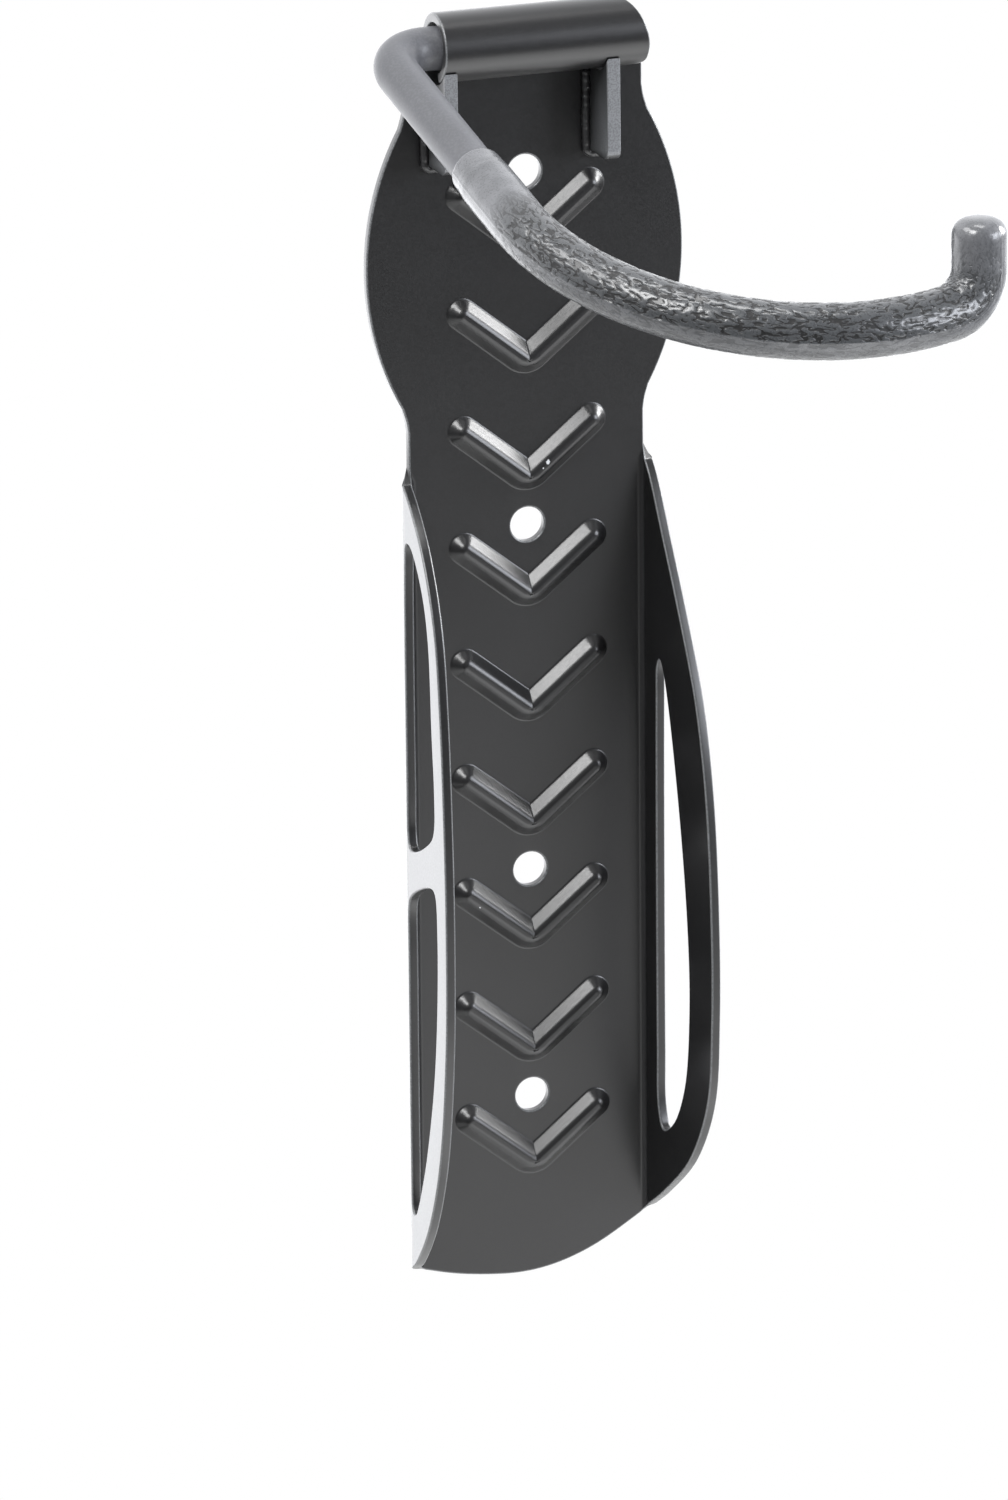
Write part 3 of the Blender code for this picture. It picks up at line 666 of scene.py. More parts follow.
    def bead_ring(self, vertex_z: float, half: float) -> list[Vector]:
        """A chevron's outline at this half width: sharp inner vertex, round elsewhere."""
        slope = math.radians(self.bead_angle)
        middle = vertex_z - self.bead_half / math.cos(slope)
        end_z = middle + self.bead_reach * math.tan(slope)
        tip = Vector((0.0, middle + half / math.cos(slope)))
        left = arc((-self.bead_reach, end_z), half, 90 - self.bead_angle,
                   270 - self.bead_angle, self.bead_end_steps)
        foot = arc((0.0, middle + self.bead_corner / math.cos(slope)),
                   half + self.bead_corner, 270 - self.bead_angle, 270 + self.bead_angle,
                   self.bead_corner_steps)
        right = arc((self.bead_reach, end_z), half, 270 + self.bead_angle,
                    450 + self.bead_angle, self.bead_end_steps)
        ring = [tip]
        for group in (left, foot, right):
            start = ring[-1]
            ring += [start.lerp(group[0], share) for share in self.bead_spans]
            ring += group
        start = ring[-1]
        ring += [start.lerp(tip, 1 - share) for share in reversed(self.bead_spans)]
        return ring

    def bead_section(self) -> list[Point2]:
        """Half section of a bead: straight flanks that roll over onto a round crest.

        Returns:
            Half width and height of each ring, from the foot up to the crest.
        """
        slope = math.radians(self.bead_slope)
        steep, hollow = math.tan(slope), self.bead_hollow
        radius = (self.bead_foot * steep - self.bead_rise) / (
            math.sin(slope) * steep - 1 + math.cos(slope))
        rings = []
        for k in range(4):
            run = 2 * hollow * k / 3
            rings.append((self.bead_foot + hollow - run, steep * run * run / (4 * hollow)))
        flank_end = radius * math.sin(slope)
        for k in range(1, 4):
            half = rings[3][0] + (flank_end - rings[3][0]) * k / 3
            rings.append((half, (self.bead_foot - half) * steep))
        last = math.asin(self.bead_crest / radius)
        for k in range(1, 9):
            turn = slope + (last - slope) * k / 8
            rings.append((radius * math.sin(turn),
                          self.bead_rise - radius * (1 - math.cos(turn))))
        return rings

    def place(self, u: float, v: float, height: float) -> Vector:
        """World point of blank point (u, v) at a height above the blank's back face."""
        if v > self.barrel_z:
            turn = (v - self.barrel_z) / self.roll_neutral
            radius = self.barrel_outer - height
            return Vector((u, radius * math.cos(turn) - self.barrel_outer,
                           self.barrel_z + radius * math.sin(turn))) * MM
        past = abs(u) - self.flat_half
        if past <= 0 or v >= self.guard_top - self.guard_step / 2:
            return Vector((u, -height, v)) * MM
        turn = min(past / (self.bend_arc / self.bend_turn), self.bend_turn)
        radius = self.bend_outer - height
        x = self.flat_half + radius * math.sin(turn)
        y = radius * math.cos(turn) - self.bend_outer
        run = max(0.0, past - self.bend_arc)
        side = -1 if u < 0 else 1
        return Vector((side * (x + run * math.cos(turn)), y - run * math.sin(turn), v)) * MM

    def blank(self) -> tuple[list[Vector], list[list[int]], list[float]]:
        """Triangulate the flat blank with its beads, bends and roll lines.

        Returns:
            The blank's points, its faces, and how far each point is pressed out.
        """
        points: list[Vector] = []
        edges: list[tuple[int, int]] = []
        rises: list[float] = []

        def line(group: list, rise: float = 0.0, closed: bool = True) -> None:
            first = len(points)
            points.extend(Vector(p[:2]) for p in group)
            rises.extend([rise] * len(group))
            last = len(points) - 1
            edges.extend((i, i + 1) for i in range(first, last))
            if closed:
                edges.append((last, first))

        outline, cuts = self.outline(), self.cuts()
        for loop in [outline] + cuts:
            line(loop)
        for index in range(self.chevrons):
            vertex = self.chevron_first - index * self.pitch
            for half, rise in self.bead_section():
                line(self.bead_ring(vertex, half), rise)
        low, high = self.bottom_z - 1.0, self.guard_top - self.guard_step
        for side in Side:
            for k in range(self.bend_steps + 1):
                u = side.value * (self.flat_half + self.bend_arc * k / self.bend_steps)
                line([(u, low), (u, high)], closed=False)
        for turn in self.roll_turns()[:-1]:
            v = self.roll_v(turn)
            line([(self.barrel_u(turn, Side.LEFT), v), (self.barrel_u(turn, Side.RIGHT), v)],
                 closed=False)
        verts, _, faces, origin, _, _ = delaunay_2d_cdt(points, edges, [], 0, 1e-4)
        keep = []
        for face in faces:
            centre = sum((verts[i] for i in face), Vector((0.0, 0.0))) / len(face)
            if inside(centre, outline) and not any(inside(centre, cut) for cut in cuts):
                keep.append(list(face))
        rise_of = [max((rises[i] for i in ids), default=0.0) for ids in origin]
        return list(verts), keep, rise_of

    def mesh(self) -> bpy.types.Mesh:
        """Fold the blank into a front and a back skin joined by a rounded rim."""
        verts, keep, rise_of = self.blank()
        rim: set[tuple[int, int]] = set()
        for face in keep:
            for a, b in zip(face, face[1:] + face[:1]):
                if (b, a) in rim:
                    rim.remove((b, a))
                else:
                    rim.add((a, b))
        outward: dict[int, Vector] = {}
        for a, b in rim:
            way = (verts[b] - verts[a]).normalized()
            for i in (a, b):
                outward[i] = outward.get(i, Vector((0.0, 0.0))) + Vector((way.y, -way.x))
        for i in outward:
            outward[i].normalize()
        bm = bmesh.new()
        edge = bm.verts.layers.float.new("edge")

        def vertex(i: int, height: float, draw_in: float,
                   rim_paint_share: float = 0.0) -> bmesh.types.BMVert:
            flat = verts[i] - outward[i] * draw_in if i in outward else verts[i]
            made = bm.verts.new(self.place(flat.x, flat.y, height + rise_of[i]))
            made[edge] = rim_paint_share
            return made

        used = sorted({i for face in keep for i in face})
        front = {i: vertex(i, self.sheet, self.edge_round) for i in used}
        back = {i: vertex(i, 0.0, self.edge_round) for i in used}
        for face in keep:
            bm.faces.new([front[i] for i in face])
            bm.faces.new([back[i] for i in reversed(face)])
        # the middle of each rounded rim is marked for the coat to paint lighter: a painted
        # highlight, partly a thinner coat
        profile = []
        for k in range(1, self.edge_steps + 1):
            a = math.radians(90 * k / self.edge_steps)
            profile.append((self.edge_round * (1 - math.sin(a)),
                            self.edge_round * (1 - math.cos(a)), math.sin(2 * a) ** 2))
        ladder = {}
        for i in outward:
            steps = [vertex(i, self.sheet - down, draw, rim_paint_share) for draw, down, rim_paint_share in profile]
            steps += [vertex(i, down, draw, rim_paint_share) for draw, down, rim_paint_share in reversed(profile)]
            ladder[i] = [front[i]] + steps + [back[i]]
        for a, b in rim:
            for k in range(len(ladder[a]) - 1):
                bm.faces.new([ladder[b][k], ladder[a][k], ladder[a][k + 1], ladder[b][k + 1]])
        return closed_mesh(bm, "back_plate_shape", merge=0.001, flats=True)

    def build(self) -> None:
        """Make the plate and dress it."""
        put("pressed_back_plate", self.mesh(), self.finish, "back_plate")


@dataclass
class Gusset:
    """A flat rib between the plate and the underside of the barrel, its front edge painted lighter
    as a painted highlight, partly a thinner coat.
    """

    name: str
    finish: bpy.types.Material
    barrel_outer: float = 6.95
    gap: float = 0.3
    corner: float = 2.2
    edge_round: float = 0.45
    saddle_steps: int = 24        # spans of the hollow under the barrel

    def mesh(self) -> bpy.types.Mesh:
        """The rib's side view, extruded and with its edges rounded."""
        low, high = (Vector(p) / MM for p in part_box(self.name))
        root, front, foot = high.y, low.y, low.z
        barrel_z = CAD_BOX[1][2] / MM - self.barrel_outer
        clear = self.barrel_outer + self.gap
        start = math.degrees(math.asin((-root - self.barrel_outer) / clear))
        end = math.degrees(math.asin((-front - self.barrel_outer) / clear))
        side = []
        for k in range(self.saddle_steps + 1):
            lean = math.radians(start + (end - start) * k / self.saddle_steps)
            side.append((-self.barrel_outer - clear * math.sin(lean),
                         barrel_z - clear * math.cos(lean)))
        side += [tuple(p) for p in arc((front + self.corner, foot + self.corner), self.corner,
                                       180, 270, 10)]
        side.append((root, foot))
        bm = bmesh.new()
        near = [bm.verts.new(Vector((low.x, y, z)) * MM) for y, z in side]
        far = [bm.verts.new(Vector((high.x, y, z)) * MM) for y, z in side]
        caps = [bm.faces.new(near), bm.faces.new(far[::-1])]
        for i in range(len(side)):
            j = (i + 1) % len(side)
            bm.faces.new([near[i], far[i], far[j], near[j]])
        round_edges = [e for cap in caps for e in cap.edges]
        bmesh.ops.bevel(bm, geom=round_edges, offset=self.edge_round * MM, segments=4,
                        profile=0.5, affect="EDGES", clamp_overlap=True)
        bmesh.ops.triangulate(bm, faces=[f for f in bm.faces if len(f.verts) > 4])
        edge = bm.verts.layers.float.new("edge")
        # the front edge is marked for the coat to paint lighter: a painted highlight on the lit,
        # rounded front edge, partly a thinner coat
        for vert in bm.verts:
            vert[edge] = 1.0 if vert.co.y / MM < front + self.edge_round * 0.7 else 0.0
        return closed_mesh(bm, self.name + "_shape", flats=True)

    def build(self) -> None:
        """Make the rib and dress it."""
        put(self.name + "_rib", self.mesh(), self.finish, self.name)


# ---------------------------------------------------------------- swept pieces
@dataclass
class Station:
    """One point of a swept piece's centreline, in millimetres."""

    point: Vector
    along: float
    girth: float
    up: Vector
    out: Vector
    crinkle: float = 0.0


@dataclass
class Sweep:
    """A tube swept along stations by Geometry Nodes, with relief on its skin."""

    name: str
    sides: int
    groove_depth: float = 0.0     # depth of the crinkled skin's grooves
    lump_height: float = 0.0      # slow unevenness of the radius
    lump_size: float = 4.0
    ripple_height: float = 0.0    # a weld's laid ripples
    ripple_pitch: float = 1.3
    seam_height: float = 0.0      # parting line along the outer side
    seam_at: float = 0.13         # its height above the middle, as a share of the radius
    wrinkles: Wrinkles = Wrinkles()

    def route(self, stations: list[Station], closed: bool) -> bpy.types.Object:
        """The centreline as an edge mesh that carries what the tree reads.

        Args:
            stations: the centreline's points.
            closed: whether the last joins the first.

        Returns:
            An object with that mesh.
        """
        mesh = bpy.data.meshes.new(self.name + "_route")
        count = len(stations)
        edges = [(i, i + 1) for i in range(count - 1)] + ([(count - 1, 0)] if closed else [])
        mesh.from_pydata([s.point * MM for s in stations], edges, [])
        numbers = {"along": [s.along for s in stations],
                   "girth": [s.girth * MM for s in stations],
                   "crinkle": [s.crinkle for s in stations]}
        for key, values in numbers.items():
            mesh.attributes.new(key, "FLOAT", "POINT").data.foreach_set("value", values)
        vectors = {"centre": [s.point * MM for s in stations],
                   "up": [s.up for s in stations], "out": [s.out for s in stations]}
        for key, values in vectors.items():
            flat = [c for v in values for c in v]
            mesh.attributes.new(key, "FLOAT_VECTOR", "POINT").data.foreach_set("vector", flat)
        carrier = bpy.data.objects.new(self.name + "_route", mesh)
        bpy.context.scene.collection.objects.link(carrier)
        return carrier

    def tree(self, finish: bpy.types.Material) -> bpy.types.NodeTree:
        """The Geometry Nodes tree that sweeps the tube and raises its relief.

        Args:
            finish: the material that Set Material gives.

        Returns:
            The tree, with its sizes as named inputs.
        """
        tree = bpy.data.node_groups.new(self.name + "_sweep", "GeometryNodeTree")
        for label, kind in (("Geometry", "Geometry"), ("Sides", "Int"),
                            ("Groove Depth", "Float"), ("Lump Height", "Float"),
                            ("Lump Size", "Float"), ("Ripple Height", "Float"),
                            ("Ripple Pitch", "Float"), ("Seam Height", "Float")):
            tree.interface.new_socket(label, in_out="INPUT", socket_type="NodeSocket" + kind)
        tree.interface.new_socket("Geometry", in_out="OUTPUT",
                                  socket_type="NodeSocketGeometry")
        given = add(tree, "NodeGroupInput").outputs

        def read(name: str, kind: str = "FLOAT") -> bpy.types.NodeSocket:
            return add(tree, "GeometryNodeInputNamedAttribute", {"data_type": kind},
                       {"Name": name}).outputs["Attribute"]

        def vector(operation: str, *values: object) -> bpy.types.Node:
            return add(tree, "ShaderNodeVectorMath", {"operation": operation},
                       dict(enumerate(values)))

        curve = add(tree, "GeometryNodeMeshToCurve", None, {"Mesh": given["Geometry"]})
        ring = add(tree, "GeometryNodeCurvePrimitiveCircle", None,
                   {"Resolution": given["Sides"], "Radius": 1.0})
        tube = add(tree, "GeometryNodeCurveToMesh", None,
                   {"Curve": curve.outputs[0], "Profile Curve": ring.outputs["Curve"],
                    "Scale": read("girth")})
        # which way a point lies from the centreline, and its unrolled place in millimetres
        place = add(tree, "GeometryNodeInputPosition").outputs[0]
        arm = vector("SUBTRACT", place, read("centre", "FLOAT_VECTOR")).outputs[0]
        way = vector("NORMALIZE", arm).outputs[0]
        rise = vector("DOT_PRODUCT", arm, read("up", "FLOAT_VECTOR")).outputs["Value"]
        spread = vector("DOT_PRODUCT", arm, read("out", "FLOAT_VECTOR")).outputs["Value"]
        unrolled = add(tree, "ShaderNodeCombineXYZ", None,
                       {0: read("along"), 1: maths(tree, "DIVIDE", rise, MM),
                        2: maths(tree, "DIVIDE", spread, MM)}).outputs[0]
        kept = add(tree, "GeometryNodeStoreNamedAttribute",
                   {"data_type": "FLOAT_VECTOR", "domain": "POINT"},
                   {"Geometry": tube.outputs[0], "Name": "wrap", "Value": unrolled})
        # the underside, past the parting line, is smoother than the top
        lean = maths(tree, "DIVIDE", rise, maths(tree, "MAXIMUM", read("girth"), 1e-5))
        outer = maths(tree, "DIVIDE", spread, maths(tree, "MAXIMUM", read("girth"), 1e-5))
        under = maths(tree, "MULTIPLY", ramp(tree, lean, 0.16, 0.10, 0.0, 1.0),
                      ramp(tree, outer, -0.2, 0.1, 0.0, 1.0))
        share = maths(tree, "MULTIPLY", read("crinkle"),
                      maths(tree, "SUBTRACT", 1.0, maths(tree, "MULTIPLY", under, 0.6)))
        kept = add(tree, "GeometryNodeStoreNamedAttribute",
                   {"data_type": "FLOAT", "domain": "POINT"},
                   {"Geometry": kept.outputs[0], "Name": "crinkled", "Value": share})
        wrap = read("wrap", "FLOAT_VECTOR")
        groove = maths(tree, "MULTIPLY", self.wrinkles.grooves(tree, wrap), read("crinkled"))
        slow = vector("DIVIDE", wrap, given["Lump Size"]).outputs[0]
        lumps = add(tree, "ShaderNodeTexNoise", None,
                    {"Vector": slow, "Scale": 1.0, "Detail": 2.0}).outputs["Fac"]
        lumps = maths(tree, "SUBTRACT", lumps, 0.5)
        wave = maths(tree, "SINE", maths(tree, "ADD", maths(
            tree, "MULTIPLY", read("along"), maths(tree, "DIVIDE", 2 * math.pi,
                                                   given["Ripple Pitch"])),
            maths(tree, "MULTIPLY", lumps, 5.0)))
        ridge = maths(tree, "MULTIPLY", ramp(tree, maths(tree, "ABSOLUTE", maths(
            tree, "SUBTRACT", lean, self.seam_at)), 0.0, 0.035, 1.0, 0.0),
            ramp(tree, outer, 0.2, 0.5))
        height = maths(tree, "MULTIPLY", lumps, given["Lump Height"])
        for amount, shape in (("Ripple Height", wave), ("Seam Height", ridge)):
            height = maths(tree, "MULTIPLY_ADD", shape, given[amount], height)
        height = maths(tree, "SUBTRACT", height,
                       maths(tree, "MULTIPLY", groove, given["Groove Depth"]))
        offset = vector("SCALE", way)
        tree.links.new(maths(tree, "MULTIPLY", height, MM), offset.inputs["Scale"])
        raised = add(tree, "GeometryNodeSetPosition", None,
                     {"Geometry": kept.outputs[0], "Offset": offset.outputs[0]})
        whole = add(tree, "GeometryNodeRealizeInstances", None, {0: raised.outputs[0]})
        dressed = add(tree, "GeometryNodeSetMaterial", None,
                      {"Geometry": whole.outputs[0], "Material": finish})
        end = add(tree, "NodeGroupOutput")
        tree.links.new(dressed.outputs[0], end.inputs[0])
        return tree

    def run(self, stations: list[Station], finish: bpy.types.Material,
            closed: bool = False) -> bpy.types.Mesh:
        """Sweep the tube and take the result as a plain mesh.

        Args:
            stations: the centreline's points.
            finish: the piece's material.
            closed: whether the centreline is a ring.

        Returns:
            The swept mesh, with the attributes wrap and crinkled.
        """
        carrier = self.route(stations, closed)
        modifier = carrier.modifiers.new("sweep", "NODES")
        modifier.node_group = self.tree(finish)
        sizes = {"Sides": self.sides, "Groove Depth": self.groove_depth,
                 "Lump Height": self.lump_height, "Lump Size": self.lump_size,
                 "Ripple Height": self.ripple_height, "Ripple Pitch": self.ripple_pitch,
                 "Seam Height": self.seam_height}
        for item in modifier.node_group.interface.items_tree:
            if item.in_out == "INPUT" and item.name in sizes:
                modifier[item.identifier] = sizes[item.name]
        ready = carrier.evaluated_get(bpy.context.evaluated_depsgraph_get())
        mesh = bpy.data.meshes.new_from_object(ready)
        carrier.modifiers.clear()
        bpy.data.objects.remove(carrier)
        for spare in [a.name for a in mesh.attributes
                      if a.name in ("along", "girth", "crinkle", "centre", "up", "out")]:
            mesh.attributes.remove(mesh.attributes[spare])
        return mesh


def joined(meshes: list[bpy.types.Mesh], name: str, merge: float) -> bpy.types.Mesh:
    """Join swept meshes that share a rim, close their poles and point them outwards."""
    bm = bmesh.new()
    for mesh in meshes:
        bm.from_mesh(mesh)
    return closed_mesh(bm, name, merge)


@dataclass
class HookRoute:
    """The hook's centreline: run, elbow, straight, big bend, tip bend and leg."""

    axis_y: float = -6.95
    axis_z: float = 125.55
    start_x: float = 16.3
    elbow_at: float = 31.2
    elbow_radius: float = 8.0
    run_lean: float = 4.9
    tilt: float = 17.35
    radius: float = 54.0
    past: float = 17.3
    tip_bend: float = 8.0
    tip_height: float = 17.0
    reach: float = 120.0
    sleeve_radius: float = 5.45
    fineness: float = 0.5         # degrees between points of a bend

    def at(self, x: float, r: float) -> Vector:
        """World point of a point on the hook's plane at r from the barrel's axis."""
        tilt = math.radians(self.tilt)
        return Vector((x, self.axis_y - r * math.cos(tilt), self.axis_z - r * math.sin(tilt)))

    def normal(self) -> Vector:
        """The upward normal of the hook's plane."""
        tilt = math.radians(self.tilt)
        return Vector((0.0, -math.sin(tilt), math.cos(tilt)))

    def bend(self, before: Vector, corner: Vector, after: Vector, radius: float,
             steps: int) -> list[Vector]:
        """Points of a round bend in place of the corner between two directions."""
        turn = before.angle(after)
        trim = radius * math.tan(turn / 2)
        side = (after - before * before.dot(after)).normalized()
        centre = corner - before * trim + side * radius
        return [centre + (before * math.sin(turn * k / steps)
                          - side * math.cos(turn * k / steps)) * radius
                for k in range(steps + 1)]

    def line(self, end_drop: float) -> list[Vector]:
        """The centreline to end_drop below the top of the tip."""
        tilt, lean = math.radians(self.tilt), math.radians(self.run_lean)
        farthest = (self.reach + self.axis_y - self.sleeve_radius) / math.cos(tilt)
        centre_r = farthest - self.radius
        run = (centre_r + self.radius * math.sin(lean)) / math.cos(lean)
        centre_x = -self.elbow_at + run * math.sin(lean) + self.radius * math.cos(lean)
        run_way = (self.at(math.sin(lean), math.cos(lean)) - self.at(0, 0)).normalized()
        elbow = self.bend(Vector((-1, 0, 0)), self.at(-self.elbow_at, 0), run_way,
                          self.elbow_radius, round(95 / (self.fineness * 3)))
        first, last = 180.0 - self.run_lean, 90.0 - self.past
        bow = [self.at(*p) for p in arc((centre_x, centre_r), self.radius, first, last,
                                        round((first - last) / self.fineness))]
        way = math.radians(self.past)
        tip_way = self.at(math.cos(way), -math.sin(way)) - self.at(0, 0)
        up = Vector((0, 0, 1))
        corner = bow[-1] + tip_way * self.tip_bend * math.tan(tip_way.angle(up) / 2)
        tip = self.bend(tip_way, corner, up, self.tip_bend, round(82 / (self.fineness * 3)))
        top = corner + up * (self.tip_height - end_drop)
        start = Vector((self.start_x, self.axis_y, self.axis_z))
        return [start] + elbow + bow + tip[1:] + [top]

    def stations(self, line: list[Vector], marks: list[tuple[float, float, float]],
                 origin: float = 0.0) -> list[Station]:
        """Stations at given distances along a line.

        Args:
            line: the centreline's points.
            marks: (distance, girth, crinkle) of each station; distances past the line's end
                carry on straight.
            origin: the distance along the line at which the marks start.

        Returns:
            The stations, with an untwisted pair of directions across the line.
        """
        ways = [(b - a).normalized() for a, b in zip(line, line[1:])]
        lengths = [0.0]
        for a, b in zip(line, line[1:]):
            lengths.append(lengths[-1] + (b - a).length)
        made, span, up = [], 0, self.normal()
        for distance, girth, crinkle in marks:
            target = origin + distance
            while span < len(ways) - 1 and lengths[span + 1] < target:
                span += 1
            point = line[span] + ways[span] * (target - lengths[span])
            up = (up - ways[span] * up.dot(ways[span])).normalized()
            made.append(Station(point, distance, girth, up.copy(), ways[span].cross(up),
                                crinkle))
        return made

    def distance_to(self, line: list[Vector], from_axis: float) -> float:
        """Distance along the line to a point on the straight run, this far from the axis."""
        centre = self.at(-self.elbow_at, 0)
        walked = 0.0
        for a, b in zip(line, line[1:]):
            near, far = (a - centre).length, (b - centre).length
            if a.x < -self.elbow_at / 2 and far >= from_axis > near:
                return walked + (from_axis - near) / (far - near) * (b - a).length
            walked += (b - a).length
        raise ValueError("the sleeve starts beyond the hook")


@dataclass
class HookRod:
    """The bent steel rod, with rounded cut ends."""

    finish: bpy.types.Material
    route: HookRoute
    radius: float = 4.3
    end_space: float = 0.6        # free space between its end and the sleeve's closed end
    chamfer: float = 0.65
    spacing: float = 0.6
    sides: int = 72

    def build(self) -> None:
        """Sweep the rod and dress it."""
        line = self.route.line(self.route.sleeve_radius + self.end_space)
        length = sum((b - a).length for a, b in zip(line, line[1:]))
        rounding = []
        for k in range(7):
            a = math.radians(90 * k / 6)
            rounding.append((self.chamfer * (1 - math.cos(a)),
                             self.radius - self.chamfer * (1 - math.sin(a))))
        marks = [(0.0, 0.0, 0.0), (0.0005, self.radius / 2, 0.0)]
        marks += [(0.001 + d, g, 0.0) for d, g in rounding]
        count = int((length - 2 * self.chamfer) / self.spacing)
        marks += [(self.chamfer + (length - 2 * self.chamfer) * k / count, self.radius, 0.0)
                  for k in range(1, count)]
        marks += [(length - 0.001 - d, g, 0.0) for d, g in reversed(rounding)]
        marks += [(length - 0.0005, self.radius / 2, 0.0), (length, 0.0, 0.0)]
        sweep = Sweep("hook_rod", self.sides, lump_height=0.10, lump_size=5.0)
        mesh = sweep.run(self.route.stations(line, marks), self.finish)
        put("bent_hook_rod", joined([mesh], "hook_rod_shape", 0.002), self.finish,
            "hook_rod")


@dataclass
class HookSleeve:
    """The soft sleeve: smooth collar, crinkled skin with a parting line, closed round tip."""

    finish: bpy.types.Material
    route: HookRoute
    rod_radius: float = 4.3
    gap: float = 0.3
    end_space: float = 0.6
    starts_at: float = 45.0
    sides: int = 132
    spacing: float = 0.31
    crown: float = 3.9            # height of the closed end's crown
    smooth_until: float = 14.0    # length of the smooth collar
    crinkle_full: float = 27.0
    tip_fade: float = 15.0        # length over which the crinkles fade towards the tip
    tip_crinkle: float = 0.08     # what is left of them at the tip
    crown_steps: int = 24
    lining_step: float = 1.4
    # outer radius of the collar by distance from the sleeve's start
    collar: tuple[Point2, ...] = ((0.0, 4.6), (0.01, 4.8), (0.12, 5.0), (0.5, 5.13),
                                  (2.6, 5.16), (4.2, 5.3), (6.0, 5.42))

    def outer_girth(self, distance: float) -> float:
        """Outer radius at a distance from the sleeve's start."""
        for (a, ra), (b, rb) in zip(self.collar, self.collar[1:]):
            if distance <= b:
                t = (distance - a) / (b - a)
                return ra + (rb - ra) * t * t * (3 - 2 * t)
        return self.collar[-1][1]

    def build(self) -> None:
        """Sweep the outside and the bore, join them at the lip and dress the sleeve."""
        radius = self.collar[-1][1]
        line = self.route.line(self.crown)
        start = self.route.distance_to(line, self.starts_at)
        length = sum((b - a).length for a, b in zip(line, line[1:])) - start
        marks = [(d, g, 0.0) for d, g in self.collar[:3]]
        count = round(length / self.spacing)
        for k in range(1, count + 1):
            d = 0.12 + (length - 0.12) * k / count
            t = min(1.0, max(0.0, (d - self.smooth_until)
                             / (self.crinkle_full - self.smooth_until)))
            fade = min(1.0, max(0.0, (length - d) / self.tip_fade))
            left = self.tip_crinkle + (1 - self.tip_crinkle) * fade
            marks.append((d, self.outer_girth(d), t * t * (3 - 2 * t) * left))
        for k in range(1, self.crown_steps + 1):
            a = math.radians(90 * k / self.crown_steps)
            marks.append((length + self.crown * math.sin(a) ** 0.85,
                          max(radius * math.cos(a) ** 0.75, 0.0) if k < self.crown_steps else 0.0,
                          self.tip_crinkle * math.cos(a)))
        outside = Sweep("hook_sleeve", self.sides, groove_depth=0.11, lump_height=0.16,
                        lump_size=5.5, seam_height=0.10)
        skin = outside.run(self.route.stations(line, marks, start), self.finish)
        bore = self.rod_radius + self.gap
        deep = length + self.crown - (self.route.sleeve_radius + self.end_space - self.gap)
        steps = round(deep / self.lining_step)
        inner_marks = [(deep * k / steps, bore, 0.0) for k in range(steps + 1)]
        inner_marks.append((deep + 0.001, 0.0, 0.0))
        inner = Sweep("hook_sleeve_bore", self.sides)
        lining = inner.run(self.route.stations(line, inner_marks, start), self.finish)
        put("soft_hook_sleeve", joined([skin, lining], "hook_sleeve_shape", 0.02), self.finish,
            "hook_sleeve")


@dataclass
class WeldBead:
    """A laid weld bead with ripples, along a route of its own."""

    node: str
    finish: bpy.types.Material
    girth: float = 0.85
    spacing: float = 0.16
    sides: int = 28

    def stations(self, line: list[Vector], closed: bool) -> list[Station]:
        """Even stations along the bead, tapering at free ends."""
        total = sum((b - a).length for a, b in zip(line, line[1:]))
        count = round(total / self.spacing)
        made, span, walked = [], 0, 0.0
        up = Vector((0, -1, 0))
        for k in range(count if closed else count + 1):
            target = total * k / count
            while span < len(line) - 2 and walked + (line[span + 1] - line[span]).length < target:
                walked += (line[span + 1] - line[span]).length
                span += 1
            way = (line[span + 1] - line[span]).normalized()
            end = 1.0 if closed else min(1.0, min(target, total - target) / self.girth)
            made.append(Station(line[span] + way * (target - walked), target,
                                self.girth * math.sqrt(max(0.0, 1 - (1 - end) ** 2)), up,
                                up.cross(way)))
        return made

    def sweep(self, line: list[Vector], closed: bool = False) -> None:
        """Lay the bead along a line and dress it."""
        tube = Sweep(self.node, self.sides, lump_height=0.4, lump_size=1.7,
                     ripple_height=0.045, ripple_pitch=1.6)
        mesh = tube.run(self.stations(line, closed), self.finish, closed)
        put(self.node + "_bead", joined([mesh], self.node + "_shape", 0.004), self.finish,
            self.node)


@dataclass
class GussetWeld(WeldBead):
    """The bead round a gusset's root: up both sides and under its lower end."""

    gusset: str = ""
    stand_off: float = 0.78       # from the root's corner to the bead's middle, in girths
    sunk: float = 0.25            # how far the bead sinks into the plate's clearance
    corner: float = 1.2           # rounding of its route

    def build(self) -> None:
        """Work out the bead's route from the gusset's box, and lay it."""
        low, high = (Vector(p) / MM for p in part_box(self.gusset))
        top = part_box(self.node)[1][2] / MM - self.girth
        reach = self.girth * self.stand_off
        y = high.y - reach + self.sunk
        left, right, foot = low.x - reach, high.x + reach, low.z - reach
        corner = self.corner
        line = [Vector((left, y, top)), Vector((left, y, foot + corner))]
        line += [Vector((p.x, y, p.y)) for p in arc((left + corner, foot + corner), corner,
                                                    180, 270, 10)]
        line += [Vector((p.x, y, p.y)) for p in arc((right - corner, foot + corner), corner,
                                                    270, 360, 10)]
        line.append(Vector((right, y, top)))
        self.sweep(line)


